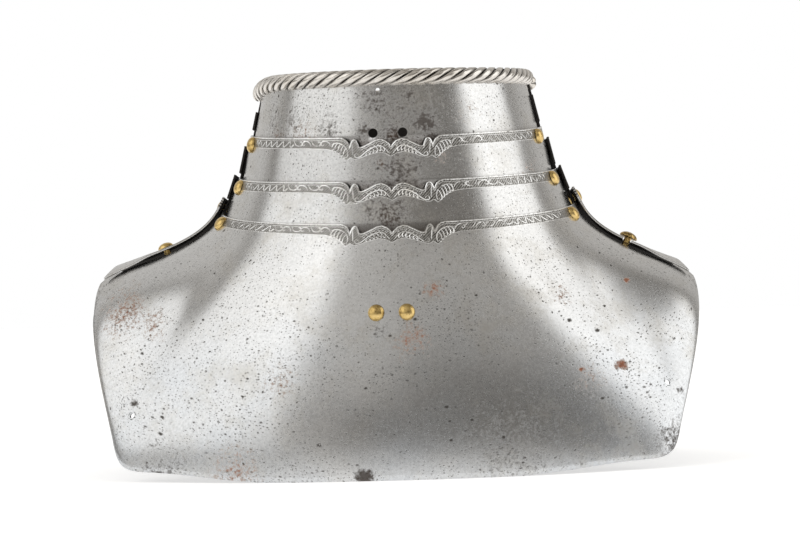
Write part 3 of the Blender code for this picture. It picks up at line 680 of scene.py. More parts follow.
def times(tree, first, second, clamp=False):
    return mathNode(tree, "MULTIPLY", first, second, clamp=clamp)


def timesPlus(tree, first, second, third, clamp=False):
    return mathNode(tree, "MULTIPLY_ADD", first, second, third, clamp=clamp)


def mixColour(tree, share, first, second, blend="MIX"):
    made = addNode(tree, "Mix", data_type="RGBA", blend_type=blend)
    for place, value in ((0, share), (6, first), (7, second)):
        socket = made.inputs[place]
        if hasattr(value, "is_linked"):
            link(tree, value, socket)
        else:
            socket.default_value = value
    return made.outputs[2]


def ramp(tree, source, *stops):
    made = addNode(tree, "ValToRGB")
    elements = made.color_ramp.elements
    while len(elements) < len(stops):
        elements.new(0.5)
    for element, (place, value) in zip(elements, stops):
        element.position = place
        element.color = (*value, 1) if isinstance(value, tuple) else (value, value, value, 1)
    link(tree, source, made.inputs[0])
    return made.outputs[0]


def noiseAt(tree, coords, scale, detail=4.0, roughness=0.55, stretch=None, shift=(0, 0, 0)):
    mapping = addNode(tree, "Mapping")
    mapping.inputs["Location"].default_value = shift
    if stretch:
        mapping.inputs["Scale"].default_value = stretch
    link(tree, coords, mapping.inputs["Vector"])
    noise = addNode(tree, "TexNoise", Scale=scale, Detail=detail, Roughness=roughness)
    link(tree, mapping.outputs[0], noise.inputs["Vector"])
    return noise.outputs["Fac"]


def pitsAt(tree, coords, scale, low, high, density):
    # round pits from low to high wide, in the share of the cells that density gives
    cells = addNode(tree, "TexVoronoi", Scale=scale, Randomness=1.0)
    cells.voronoi_dimensions = "2D"
    link(tree, coords, cells.inputs["Vector"])
    parts = addNode(tree, "SeparateColor")
    link(tree, cells.outputs["Color"], parts.inputs[0])
    chosen = mathNode(tree, "LESS_THAN", parts.outputs[0], density)
    low, high = 0.5 * low * scale, 0.5 * high * scale
    wide = times(tree, parts.outputs[1], parts.outputs[1])
    wide = timesPlus(tree, wide, high - low, low)
    near = mathNode(tree, "DIVIDE", cells.outputs["Distance"], wide)
    depth = times(tree, mathNode(tree, "SUBTRACT", 1.0, near, clamp=True), 1.8, clamp=True)
    return times(tree, depth, chosen)


# stains seen from the front: x, z, radius, strength
plateRust = (
    (0.1175, 0.0535, 0.0034, 1.0),
    (0.0965, 0.0520, 0.0019, 0.75),
    (0.1225, 0.0960, 0.0018, 0.7),
    (0.0110, 0.0700, 0.0110, 0.39),
    (0.0225, 0.0940, 0.0060, 0.42),
    (-0.1430, 0.0870, 0.0150, 0.36),
    (-0.1260, 0.0800, 0.0100, 0.30),
    (-0.0560, 0.0500, 0.0110, 0.20),
    (-0.0800, 0.0060, 0.0150, 0.30),
    (0.0880, 0.0900, 0.0060, 0.24),
    (0.1000, 0.0470, 0.0090, 0.24),
)
plateDark = (
    (-0.0145, 0.0020, 0.0047, 1.0),
    (0.1172, 0.0532, 0.0008, 0.7),
    (0.1440, 0.0140, 0.0120, 0.42),
    (0.0600, 0.0180, 0.0280, 0.20),
    (-0.1200, 0.0030, 0.0200, 0.26),
    (-0.0070, 0.0750, 0.0060, 0.24),
    (-0.1350, 0.0400, 0.0026, 0.8),
    (0.1480, 0.0390, 0.0022, 0.5),
)
collarDark = (
    (0.0190, 0.1810, 0.0075, 0.72),
    (0.0230, 0.1730, 0.0050, 0.75),
    (-0.0120, 0.1780, 0.0060, 0.55),
    (0.0040, 0.1760, 0.0090, 0.55),
    (0.0120, 0.1950, 0.0080, 0.50),
    (-0.0300, 0.1795, 0.0080, 0.42),
    (-0.0040, 0.1930, 0.0140, 0.42),
    (0.0100, 0.1860, 0.0200, 0.36),
    (-0.0550, 0.1850, 0.0120, 0.28),
)
collarRust = (
    (-0.0450, 0.1775, 0.0100, 0.22),
    (-0.0600, 0.1770, 0.0060, 0.25),
    (0.0035, 0.1750, 0.0040, 0.40),
    (0.0420, 0.1900, 0.0120, 0.10),
)

lameRust = (
    (-0.0030, 0.1600, 0.0035, 0.25),
    (0.0280, 0.1620, 0.0040, 0.22),
    (0.0730, 0.1560, 0.0060, 0.20),
    (0.0000, 0.1330, 0.0060, 0.25),
)
lameDark = (
    (0.0060, 0.1580, 0.0150, 0.54),
    (0.0000, 0.1360, 0.0170, 0.48),
)


def stainMask(tree, coords, stains):
    parts = addNode(tree, "SeparateXYZ")
    link(tree, coords, parts.inputs[0])
    ragged = ramp(tree, noiseAt(tree, coords, 520.0, 5.0, 0.75), (0.36, 0.0), (0.64, 1.0))
    bent = noiseAt(tree, coords, 130.0, 3.0, 0.6)
    total = None
    for x, z, radius, strength in stains:
        dx = mathNode(tree, "SUBTRACT", parts.outputs[0], x)
        dz = mathNode(tree, "SUBTRACT", parts.outputs[2], z)
        away = mathNode(tree, "SQRT", mathNode(
            tree, "ADD", times(tree, dx, dx), times(tree, dz, dz)))
        near = mathNode(tree, "DIVIDE", away, radius)
        near = timesPlus(tree, mathNode(tree, "SUBTRACT", bent, 0.5), 1.6, near)
        spot = times(tree, mathNode(tree, "SUBTRACT", 1.2, near, clamp=True), 1.4 * strength)
        total = spot if total is None else mathNode(tree, "MAXIMUM", total, spot)
    front = mathNode(tree, "LESS_THAN", parts.outputs[1], 0.0)
    total = times(tree, total, front)
    # specks where it is weak, solid where it is strong
    mask = mathNode(tree, "ADD", total, mathNode(tree, "SUBTRACT", ragged, 0.75), clamp=True)
    return times(tree, mask, times(tree, total, 6.0, clamp=True))


steel = {
    "bright": (0.66, 0.655, 0.645, 1),
    "cool": (0.595, 0.62, 0.65, 1),
    "brown": (0.49, 0.45, 0.375, 1),
    "pit": (0.050, 0.042, 0.034, 1),
    "rust": (0.33, 0.105, 0.035, 1),
    "tan": (0.33, 0.20, 0.115, 1),
    # dark of the stains, and of the painted shade where a plate tucks under the next
    "stain_and_shade": (0.07, 0.055, 0.045, 1),
    "roughness": 0.21,
    # cells of the pits for each metre, narrowest and widest pit, share of the cells, and depth
    "pits": (
        (640.0, 0.45 * mm, 1.0 * mm, 1.1, 0.6),
        (330.0, 0.5 * mm, 1.5 * mm, 0.7, 0.8),
        (110.0, 0.8 * mm, 2.6 * mm, 0.42, 1.0),
    ),
}


def newFinish(name, metallic=1.0):
    made = bpy.data.materials.new(name)
    made.use_nodes = True
    tree = made.node_tree
    shader = tree.nodes["Principled BSDF"]
    shader.inputs["Metallic"].default_value = metallic
    return made, tree, shader, addNode(tree, "TexCoord")


def setSurface(tree, shader, colour, rough, height):
    link(tree, colour, shader.inputs["Base Color"])
    link(tree, rough, shader.inputs["Roughness"])
    bump = addNode(tree, "Bump", Strength=1.0, Distance=1.0)
    link(tree, height, bump.inputs["Height"])
    link(tree, bump.outputs[0], shader.inputs["Normal"])


def steelFinish(name, pitting=0.0, spots=1.0, rust=(), dark=(), dull=0.0, wave=1.0, gain=1.0):
    made, tree, shader, texture = newFinish(name)
    coords = texture.outputs["Object"]
    broad = noiseAt(tree, coords, 13.0, 5.0, 0.6)
    warm = noiseAt(tree, coords, 30.0, 8.0, 0.75, shift=(3.1, 1.7, 0.4))
    grain = noiseAt(tree, coords, 700.0, 4.0, 0.7)
    parts = addNode(tree, "SeparateXYZ")
    link(tree, coords, parts.inputs[0])
    low = timesPlus(tree, parts.outputs[2], -11.0, 1.15, clamp=True)
    cool = ramp(tree, broad, (0.36, 0.25), (0.64, 1.0))
    cool = times(tree, cool, timesPlus(tree, low, 0.8, 0.2))
    colour = mixColour(tree, cool, steel["bright"], steel["cool"])
    patina = ramp(tree, warm, (0.50, 0.0), (0.70, 1.0))
    colour = mixColour(tree, times(tree, patina, 0.42 + dull), colour, steel["brown"])
    mottle = ramp(tree, grain, (0.36, 0.84), (0.58, 1.0))
    colour = mixColour(tree, 1.0, colour, mottle, "MULTIPLY")
    if gain != 1.0:
        colour = mixColour(tree, 1.0, colour, (gain, gain, gain, 1), "MULTIPLY")
    # painted shade where the next plate covers the sheet, from the sheet's own attribute
    tuckShade = addNode(tree, "Attribute", attribute_name="tuckShade").outputs["Fac"]
    colour = mixColour(tree, times(tree, tuckShade, 0.8), colour, steel["stain_and_shade"])
    rough = timesPlus(tree, broad, 0.12, steel["roughness"] - 0.06 + dull * 0.3)
    rough = timesPlus(tree, patina, 0.08, rough)
    rough = timesPlus(tree, grain, 0.05, rough)
    ripple = noiseAt(tree, coords, 30.0, 2.0, 0.5, shift=(5, 2, 7))
    height = times(tree, ripple, 0.00026 * wave)
    height = timesPlus(tree, grain, 0.000005, height)
    if pitting:
        bent = addNode(tree, "Mix", data_type="VECTOR")
        jitter = addNode(tree, "TexNoise", Scale=1500.0, Detail=1.0)
        link(tree, texture.outputs["UV"], jitter.inputs["Vector"])
        link(tree, texture.outputs["UV"], bent.inputs[4])
        link(tree, jitter.outputs["Color"], bent.inputs[5])
        bent.inputs[0].default_value = 0.0008
        flat = bent.outputs[1]
        patchy = noiseAt(tree, coords, 26.0, 6.0, 0.8, shift=(9, 4, 2))
        patchy = ramp(tree, patchy, (0.42, 0.12), (0.58, 1.15))
        density = times(tree, patchy, timesPlus(tree, low, 0.45, 0.55))
        pits = None
        amounts = (pitting, pitting, spots)
        for (scale, narrow, wide, share, depth), much in zip(steel["pits"], amounts):
            layer = pitsAt(tree, flat, scale, narrow, wide, times(tree, density, share * much))
            layer = times(tree, layer, depth)
            pits = layer if pits is None else mathNode(tree, "MAXIMUM", pits, layer)
        colour = mixColour(tree, times(tree, pits, 0.9, clamp=True), colour, steel["pit"])
        rough = timesPlus(tree, pits, 0.3, rough, clamp=True)
        height = timesPlus(tree, pits, -0.00003, height)
    metallic = None
    for stains, shade, loss in ((rust, "rust", 0.6), (dark, "stain_and_shade", 0.45)):
        if not stains:
            continue
        mask = times(tree, stainMask(tree, coords, stains), 1.5, clamp=True)
        tint = steel[shade]
        if shade == "rust":
            deep = ramp(tree, mask, (0.35, 0.0), (0.9, 1.0))
            tint = mixColour(tree, deep, steel["tan"], tint)
        colour = mixColour(tree, times(tree, mask, 0.9), colour, tint)
        rough = timesPlus(tree, mask, 0.5, rough, clamp=True)
        bare = mathNode(tree, "SUBTRACT", 1.0, times(tree, mask, loss))
        metallic = bare if metallic is None else mathNode(tree, "MINIMUM", metallic, bare)
    if metallic is not None:
        link(tree, metallic, shader.inputs["Metallic"])
    setSurface(tree, shader, colour, rough, height)
    return made


def ropeFinish(name):
    # warm worn steel, with painted shade nearly black down the grooves, which the rope's own
    # attribute marks
    made = steelFinish(name, wave=0.3)
    tree = made.node_tree
    shader = tree.nodes["Principled BSDF"]
    colour = shader.inputs["Base Color"].links[0].from_socket
    hollow = addNode(tree, "Attribute", attribute_name="hollow").outputs["Fac"]
    coords = addNode(tree, "TexCoord").outputs["Object"]
    ragged = noiseAt(tree, coords, 160.0, 5.0, 0.7, shift=(2, 6, 1))
    # painted shade down the grooves, broken up by noise
    share = times(tree, hollow, timesPlus(tree, ragged, 1.9, 0.35), clamp=True)
    tint = mixColour(tree, 1.0, colour, (1.10, 1.05, 0.99, 1), "MULTIPLY")
    grooveShade = mixColour(tree, share, tint, (0.022, 0.018, 0.014, 1))
    link(tree, grooveShade, shader.inputs["Base Color"])
    return made


def darkFinish(name):
    # the insides, left black from the forge; on the back neck plates' cut edges the same black is
    # painted shade for the shadowed gap where the halves lap
    made, tree, shader, texture = newFinish(name, 0.5)
    coords = texture.outputs["Object"]
    broad = noiseAt(tree, coords, 60.0, 6.0, 0.7)
    colour = ramp(
        tree, broad, (0.30, (0.012, 0.011, 0.010)), (0.62, (0.035, 0.030, 0.026)),
        (0.80, (0.070, 0.052, 0.038)),
    )
    rough, height = timesPlus(tree, broad, 0.3, 0.4), times(tree, broad, 0.0006)
    setSurface(tree, shader, colour, rough, height)
    return made


def etchedFinish(name):
    # the border's sunk ground: dark, with fine slanted lines
    made, tree, shader, texture = newFinish(name)
    lines = addNode(
        tree, "TexWave", wave_type="BANDS", bands_direction="DIAGONAL",
        Scale=420.0, Distortion=2.0, Detail=2.0,
    )
    link(tree, texture.outputs["UV"], lines.inputs["Vector"])
    spots = noiseAt(tree, texture.outputs["Object"], 900.0, 3.0, 0.7)
    mixed = timesPlus(tree, spots, 0.7, times(tree, lines.outputs[1], 0.45))
    colour = ramp(
        tree, mixed, (0.34, (0.025, 0.022, 0.019)), (0.47, (0.19, 0.183, 0.168)),
        (0.66, (0.46, 0.45, 0.43)),
    )
    rough, height = timesPlus(tree, spots, 0.25, 0.25), times(tree, mixed, 0.00009)
    setSurface(tree, shader, colour, rough, height)
    return made


def brassFinish(name, age=0.0):
    made, tree, shader, texture = newFinish(name)
    coords = texture.outputs["Object"]
    broad = noiseAt(tree, coords, 240.0, 4.0, 0.6)
    fine = noiseAt(tree, coords, 1100.0, 3.0, 0.6, shift=(1, 2, 3))
    colour = ramp(
        tree, broad, (0.30, (0.26, 0.165, 0.055)), (0.46, (0.62, 0.44, 0.165)),
        (0.72, (0.78, 0.58, 0.26)),
    )
    spots = ramp(tree, fine, (0.30 + 0.22 * age, 0.0), (0.40 + 0.22 * age, 1.0))
    colour = mixColour(tree, spots, (0.20, 0.13, 0.05, 1), colour)
    height = timesPlus(tree, fine, 0.00002, times(tree, broad, 0.0001))
    setSurface(tree, shader, colour, timesPlus(tree, broad, 0.25, 0.18), height)
    return made


finish = {
    "plate": steelFinish("pitted_steel", 1.0, 1.0, plateRust, plateDark),
    "collar": steelFinish("neck_steel", 1.8, 3.2, collarRust, collarDark, wave=0.5),
    "lame": steelFinish("lame_steel", 1.1, 2.2, lameRust, lameDark, wave=0.5),
    "back": steelFinish("back_steel", 0.8, 0.9),
    "inside": darkFinish("inner_steel"),
    "etched": etchedFinish("etched_ground"),
    # brighter than the plain steel: painted highlight on the raised wires and edge bead
    "relief": steelFinish("relief_steel", wave=0.2, gain=1.3),
    "rope": ropeFinish("rope_steel"),
    "worn": steelFinish("worn_steel", dull=0.3, gain=0.25),
    "brass": brassFinish("domed_brass"),
    "aged": brassFinish("aged_brass", age=0.8),
}
print("finishes made")


def finishPiece(piece, body, *nodes, angle=40):
    smoothPiece(piece, angle)
    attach(piece, body)
    if nodes:
        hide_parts(*nodes)
    return piece


def buildNeckPlates():
    made = {}
    for side, edges, facing in halves:
        for name in ("collar", *lames):
            lowered = None
            if name == "collar":
                edge = edges[name]
                wall = belowEdge(edges, facing, "upper_lame", np.float64(math.pi / 2), 0.0)
                wall = np.linalg.norm(wall - edgePoint(edge, facing, math.pi / 2))
                share = plates["seatShare"] / wall
                low = rimRope["radius"] + rimRope["clear"]
                lowered = ((low + rimBend["droop"]) * share, low * share)
            columns, downs = lameColumns(edges, facing, name, lowered)

            def surface(turn, down, edges=edges, facing=facing, name=name):
                if name == "collar":
                    return collarSurface(edges, facing, turn, down)
                return neckSurface(edges, facing, name, turn, down)

            plate = Plate(f"{side}_{name}", surface, columns, downs, name != "collar", (24, 4))
            outside = finish["back"]
            if side == "front":
                outside = finish["collar" if name == "collar" else "lame"]
            ground = finish["etched"] if plate.cusped else outside
            slots = (outside, ground, finish["inside"], finish["inside"])
            # the back neck plates' cut edges take the black inside finish as painted shade for the
            # gap where the halves lap
            made[side, name] = (plate, makeSheet(plate, slots, 0 if side == "front" else 2))
    return made


def buildMainPlates():
    half = evenly(0.1, plates["frontReach"], 90)
    columns = np.concatenate([-half[:0:-1], evenly(-0.1, 0.1, 180), half[1:]])
    downs = np.tile((0.0, 0.5, 1.0), (len(columns), 1))
    front = Plate("front_plate", easedFront, columns, downs, True, (26, 26))
    half = evenly(0.1, 1 - plates["backReach"], 90)
    columns = 1 + np.concatenate([-half[:0:-1], evenly(-0.1, 0.1, 180), half[1:]])
    downs = np.tile((-1.0, 0.45, 1.0), (len(columns), 1))
    back = Plate("back_plate", easedBack, columns, downs, True, (28, 26))
    etched, inside = finish["etched"], finish["inside"]
    frontPiece = makeSheet(front, (finish["plate"], etched, inside, inside))
    backPiece = makeSheet(back, (finish["back"], etched, inside, inside))
    return (front, frontPiece), (back, backPiece)


rivetSizes = {
    "headRadius": 4.3 * mm,
    "headHeight": 3.1 * mm,
    "shank": 1.9 * mm,
    "burrRadius": 3.2 * mm,
    "burrHeight": 0.8 * mm,
    "seatGap": 0.4 * mm,
    "sunk": 0.03 * mm,
    "bevel": 0.25 * mm,
    "drop": 4.6 * mm,
    "frontTurn": math.radians(73.5),
    "backSet": {"collar": 28.0 * mm, "upper_lame": 28.0 * mm, "lower_lame": 12.0 * mm},
    "chestSpacing": 15.6 * mm,
    "chestHeight": 84.0 * mm,
    "chestShift": 1.0 * mm,
    "strapOut": 124.0 * mm,
    "studRadius": 4.9 * mm,
    "studStand": 1.6 * mm,
}


def makeRivet(node, seat, axis, grip, radius=None, stand=0.0, seed=0):
    # a domed head over a shank that is spread into a burr behind the sheets
    size = rivetSizes
    radius = radius or size["headRadius"]
    top = stand - size["sunk"]
    deselectAll()
    bpy.ops.mesh.primitive_uv_sphere_add(segments=40, ring_count=24, radius=radius)
    piece = bpy.context.active_object
    piece.name = piece.data.name = node + "_dome"
    bpy.ops.object.mode_set(mode="EDIT")
    bpy.ops.mesh.select_all(action="SELECT")
    bpy.ops.mesh.bisect(
        plane_co=(0, 0, 0), plane_no=(0, 0, 1), clear_inner=True, use_fill=True
    )
    bpy.ops.mesh.extrude_region_move()
    bpy.ops.transform.resize(value=(size["shank"] / radius, size["shank"] / radius, 1))
    bpy.ops.mesh.extrude_region_move(
        TRANSFORM_OT_translate={"value": (0, 0, -(grip + top + 1.5 * size["seatGap"]))}
    )
    spread = size["burrRadius"] / size["shank"]
    bpy.ops.mesh.extrude_region_move()
    bpy.ops.transform.resize(value=(spread, spread, 1))
    bpy.ops.mesh.extrude_region_move(
        TRANSFORM_OT_translate={"value": (0, 0, -size["burrHeight"])}
    )
    bpy.ops.transform.resize(value=(0.55, 0.55, 1))
    bpy.ops.object.mode_set(mode="OBJECT")
    # the dome is flattened to its height, a little uneven as hammered brass is
    random = np.random.default_rng(seed)
    lean, dent = random.uniform(-0.06, 0.06, 2), random.uniform(0, 2 * math.pi)
    for vertex in piece.data.vertices:
        x, y, z = vertex.co
        if z > 1e-6:
            round_ = 1 + 0.025 * math.sin(2 * math.atan2(y, x) + dent)
            height = (z / radius) ** 0.92 * size["headHeight"]
            height *= 1 + (lean[0] * x + lean[1] * y) / radius
            vertex.co = (x * round_, y * round_, height)
    turned = Vector((0, 0, 1)).rotation_difference(Vector(axis)).to_matrix().to_4x4()
    away = Vector(seat) + Vector(axis) * top
    piece.data.transform(Matrix.Translation(away) @ turned)
    piece.data.materials.append(finish["aged" if node == "shoulder_stud" else "brass"])
    applyModifier(
        piece, "BEVEL", width=size["bevel"], segments=2, limit_method="ANGLE",
        angle_limit=math.radians(60),
    )
    return finishPiece(piece, bodyOf[node], node, angle=45)


def onNeck(edges, facing, name, turn, drop):
    def surface(across, down):
        return belowEdge(edges, facing, name, across, down)

    turn, drop = np.array([turn]), np.array([drop])
    return surface(turn, drop)[0], outward(surface, turn, drop)[0]


def strapSeat(around):
    low, high = 0.3, 0.95
    for _ in range(30):
        down = 0.5 * (low + high)
        if abs(mainSurface(around, down)[0]) < rivetSizes["strapOut"]:
            low = down
        else:
            high = down
    axis = outward(mainSurface, around, down)
    return mainSurface(around, down) + axis * plates["strapStep"], axis


def onFrontPlate(x, z):
    # the place on the front plate with this x and z, found roughly and then closely
    arounds, downs = np.linspace(-0.5, 0.5, 401), np.linspace(0.02, 1, 301)
    for _ in range(2):
        points = mainSurface(arounds[:, None], downs[None, :])
        away = np.hypot(points[..., 0] - x, points[..., 2] - z)
        i, j = np.unravel_index(np.argmin(away), away.shape)
        a, d = arounds[i], downs[j]
        arounds = np.linspace(a - 0.003, a + 0.003, 61)
        downs = np.linspace(d - 0.004, min(d + 0.004, 1), 61)
    return mainSurface(a, d), outward(mainSurface, a, d)


def makeRivets():
    size = rivetSizes
    seed = 1
    for side, edges, facing in halves:
        for upper in ("collar", *lames):
            turn = size["frontTurn"]
            if facing > 0:
                turn = turnAt(edges[upper], -size["backSet"][upper])
            for end, sign in (("right", -1), ("left", 1)):
                below = plateBelow(edges, upper)
                seat, axis = onNeck(edges, facing, below, sign * turn, size["drop"])
                grip = plates["step"] + plates["thickness"]
                makeRivet(f"{side}_{upper}_rivet_{end}", seat, axis, grip, seed=seed)
                seed += 1
    for end, sign in (("right", -1), ("left", 1)):
        x = size["chestShift"] + 0.5 * sign * size["chestSpacing"]
        seat, axis = onFrontPlate(x, size["chestHeight"])
        makeRivet(f"chest_rivet_{end}", seat, axis, plates["thickness"], seed=seed)
        seed += 1
    grip = plates["strapStep"] + plates["thickness"]
    seat, axis = strapSeat(-plates["strapMiddle"])
    makeRivet("shoulder_pivot", seat, axis, grip, seed=seed)
    seat, axis = strapSeat(plates["strapMiddle"])
    makeRivet("shoulder_stud", seat, axis, grip, size["studRadius"], size["studStand"], seed + 1)


holes = {
    "collarRadius": 2.5 * mm,
    "collarSpacing": 15.4 * mm,
    "collarDrop": 31.0 * mm,
    "collarShift": -1.6 * mm,
    "strapRadius": 1.5 * mm,
    "strapSet": 13.0 * mm,
    "strapOut": 113.0 * mm,
    "sideRadius": 1.45 * mm,
    "side": ((-0.845, 0.320), (0.879, 0.408)),
    "rimRadius": 1.1 * mm,
    "rimDrop": 8.5 * mm,
    "rimAt": (-6.0 * mm, 57.0 * mm),
    "slotClear": 0.5 * mm,
    "slotReach": 24.0 * mm,
}


def cutHoles(front, back, collar):
    for across, height in holes["side"]:
        place = onFrontPlate(across * plates["halfWidth"], height * plates["shoulderHeight"])
        cutRound(front, *place, holes["sideRadius"], 12 * mm)
    for sign in (-1, 1):
        x = neck["shift"] + holes["collarShift"] + 0.5 * sign * holes["collarSpacing"]
        centre = (x, -neck["depth"] * 1.05, neck["height"] - holes["collarDrop"])
        cutRound(collar, centre, (0, -1, 0), holes["collarRadius"], 0.4 * neck["depth"])
        centre = (sign * holes["strapOut"], -holes["strapSet"], plates["shoulderHeight"] * 1.15)
        lean = Vector((0.35 * sign, -0.2, 1.0)).normalized()
        cutRound(front, centre, lean, holes["strapRadius"], 24 * mm)
    for across in holes["rimAt"]:
        turn = math.asin(across / neck["halfWidth"])
        out = Vector((math.sin(turn), -math.cos(turn), 0))
        centre = out * neck["depth"] + Vector((neck["shift"], 0, neck["height"] - holes["rimDrop"]))
        cutRound(collar, centre, out, holes["rimRadius"], 30 * mm)
    # the slot that slides over the stud
    seat, axis = strapSeat(plates["strapMiddle"])
    turned = Vector((0, 0, 1)).rotation_difference(Vector(axis))
    deselectAll()
    width = rivetSizes["shank"] + holes["slotClear"]
    bpy.ops.mesh.primitive_cylinder_add(vertices=32, radius=width, depth=6 * mm)
    cutter = bpy.context.active_object
    for vertex in cutter.data.vertices:
        if vertex.co.y < -1e-6:
            vertex.co.y -= holes["slotReach"]
    cutter.data.transform(Matrix.Translation(Vector(seat)) @ turned.to_matrix().to_4x4())
    cutAway(back, cutter)


def wirePiece(name, runs, material):
    # round wires along runs of points, each with its radii
    curve = bpy.data.curves.new(name, "CURVE")
    curve.dimensions = "3D"
    curve.bevel_depth = 1.0
    curve.bevel_resolution = 1
    curve.use_fill_caps = True
    for points, radii in runs:
        spline = curve.splines.new("POLY")
        spline.points.add(len(points) - 1)
        spots = np.concatenate([points, np.ones((len(points), 1))], axis=1)
        spline.points.foreach_set("co", spots.ravel().astype(np.float32))
        spline.points.foreach_set("radius", np.asarray(radii, np.float32))
    piece = bpy.data.objects.new(name, curve)
    bpy.context.scene.collection.objects.link(piece)
    makeActive(piece)
    bpy.ops.object.convert(target="MESH")
    piece = bpy.context.active_object
    piece.data.materials.clear()
    piece.data.materials.append(material)
    return piece


ornament = {
    "edge": (0.50 * mm, 0.24 * mm, 0.42 * mm),  # wire radius, how far it stands up, below the edge
    "inner": (0.20 * mm, 0.07 * mm, 1.55 * mm),
    "foot": (0.24 * mm, 0.08 * mm, 0.0),
    "stand": 0.19 * mm,
    "step": 0.35 * mm,
    # strokes of the border, as across and below the straight edge, in millimetres
    "arch": ((16.6, 9.6), (17.4, 8.7), (18.5, 9.0), (18.6, 10.1), (17.2, 10.6), (15.2, 9.7),
             (13.0, 7.8), (10.6, 6.2), (8.0, 5.0), (5.6, 4.7), (3.6, 5.6), (2.2, 7.2), (0.9, 8.6)),
    "archLeaf": (13.6, 11.8, 10.0, 8.2, 6.4, 4.6),
    "horn": ((19.6, 9.4), (19.9, 7.2), (20.2, 4.8), (20.4, 3.0)),
    "point": ((22.9, 11.0), (22.4, 8.8), (22.9, 6.6), (24.4, 4.6), (26.6, 3.4), (29.4, 2.9),
              (31.6, 3.6)),
    "pointLeaf": (23.6, 25.0, 26.6, 28.4, 30.2),
    "scroll": ((0.0, 4.6), (0.10, 2.7), (0.28, 1.9), (0.44, 2.6), (0.46, 3.9), (0.36, 4.2),
               (0.33, 3.5)),
    "wave": {"length": 5.4, "height": 1.45, "middle": 3.55, "lean": 0.9, "radius": 0.42},
    "scrollTurn": 0.70,
    "waveTurn": 1.06,
}


def splineThrough(spots, step):
    # a smooth line through a few spots, with a point every step
    spots = np.asarray(spots, float)
    keys = lengthAlong(spots)
    fine = np.linspace(0, keys[-1], max(int(keys[-1] / step), 6))
    line = [splineAt(keys, values, naturalSpline(keys, values), fine) for values in spots.T]
    return np.stack(line, axis=1)


def tapered(count, widest, tip=0.35):
    share = np.sin(np.linspace(0.12, math.pi - 0.12, count))
    return (tip + (1 - tip) * share) * widest


def ornamentRuns(radius, rivetTurn):
    # strokes of one half of the border, as (across, depth, radii) in millimetres
    step = ornament["step"] / mm
    strokes = []

    def stroke(spots, widest, tip=0.35):
        line = splineThrough(spots, step)
        strokes.append((line[:, 0], line[:, 1], tapered(len(line), widest, tip)))

    archLine = splineThrough(ornament["arch"], step)
    strokes.append((archLine[:, 0], archLine[:, 1], tapered(len(archLine), 0.5)))
    for at in ornament["archLeaf"]:
        start = np.interp(-at, -archLine[6:, 0], archLine[6:, 1])
        foot = footDepth(at * mm) / mm - 0.7
        curl = 0.5 + 0.35 * math.sin(7 * at)
        middle = 0.5 * (start + foot)
        bend, end = (at - 1.1, middle - 0.3), (at - 0.1, foot - curl)
        stroke(((at, start + 0.1), bend, (at - 1.0, foot), end), 0.42)
    for at in np.arange(3.0, 15.0, 1.9):
        top = cuspDepth(at * mm) / mm + 2.0
        reach = 0.9 + 0.3 * math.sin(5 * at)
        stroke(((at + 0.5, top), (at - 0.2, top + reach), (at - 0.7, top + 0.3)), 0.22)
    stroke(ornament["horn"], 0.42)
    line = splineThrough(ornament["point"], step)
    strokes.append((line[:, 0], line[:, 1], tapered(len(line), 0.48)))
    for at in ornament["pointLeaf"]:
        start = np.interp(at, line[8:, 0], line[8:, 1]) + 0.3
        foot = footDepth(at * mm) / mm - 0.6
        middle = 0.5 * (start + foot)
        leaf = ((at, start), (at + 1.2, middle - 0.2), (at + 0.9, foot), (at - 0.1, foot - 0.6))
        stroke(leaf, 0.42)
    scrollEnd, waveEnd = radius * ornament["scrollTurn"], radius * ornament["waveTurn"]
    length = (scrollEnd - 32.0) / round((scrollEnd - 32.0) / 11.0)
    for k in range(round((scrollEnd - 32.0) / length)):
        spots = np.array(ornament["scroll"])
        at = 32.0 + k * length
        one = np.stack([at + spots[:, 0] * length * 1.05, spots[:, 1]], axis=1)
        two = np.stack([at + length * (1.0 - spots[:, 0] * 1.05), 6.3 - spots[:, 1]], axis=1)
        stroke(one, 0.46)
        stroke(two, 0.46)
        join = (at + 0.40 * length, 4.6), (at + 0.5 * length, 3.2), (at + 0.62 * length, 1.9)
        stroke(join, 0.34)
    wave = ornament["wave"]
    along = np.arange(scrollEnd, waveEnd, 0.3)
    turn = 2 * math.pi * (along - scrollEnd) / wave["length"]
    depth = wave["middle"] + wave["height"] * np.sin(turn)
    strokes.append((along + wave["lean"] * np.sin(turn), depth, 0 * along + wave["radius"]))
    at = waveEnd + 1.5
    last = radius * rivetTurn - 7.5
    while at + 4.0 < last:
        hook = (at, 5.0), (at + 0.6, 2.4), (at + 2.2, 2.0), (at + 2.6, 3.6), (at + 1.6, 4.0)
        stroke(hook, 0.34)
        at += 4.2
    return strokes


def makeBorder(plate, radius, rivetTurn, body):
    runs = []

    def lay(across, depth, radii, stand):
        across, radii = np.asarray(across) * mm, np.asarray(radii) * mm
        runs.append((plate.borderPoint(across, np.asarray(depth) * mm, stand - radii), radii))

    end = min(-plate.across[0], plate.across[-1]) - 0.6 * mm
    outer = evenly(0.03, end, 200)[1:]
    along = np.concatenate([evenly(-end, -0.03, 200)[:-1], evenly(-0.03, 0.03, 260), outer])
    for key, line in (("edge", cuspDepth), ("inner", cuspDepth), ("foot", footDepth)):
        radii, stand, below = ornament[key]
        reach = along if key == "edge" else along[np.abs(along) < radius * mm * rivetTurn - 6 * mm]
        depth = line(reach) + below
        lay(reach / mm, depth / mm, 0 * reach + radii / mm, stand)
    for across, depth, radii in ornamentRuns(radius, rivetTurn):
        for sign in (-1, 1):
            lay(sign * across, depth, radii, ornament["stand"])
    piece = wirePiece(plate.name + "_border", runs, finish["relief"])
    return finishPiece(piece, body, angle=60)


marks = {
    "plug": (-140.2 * mm, 41.6 * mm, 2.0 * mm),
    "holeRing": 2.1 * mm,
    "wire": 0.28 * mm,
    "stand": 0.10 * mm,
}


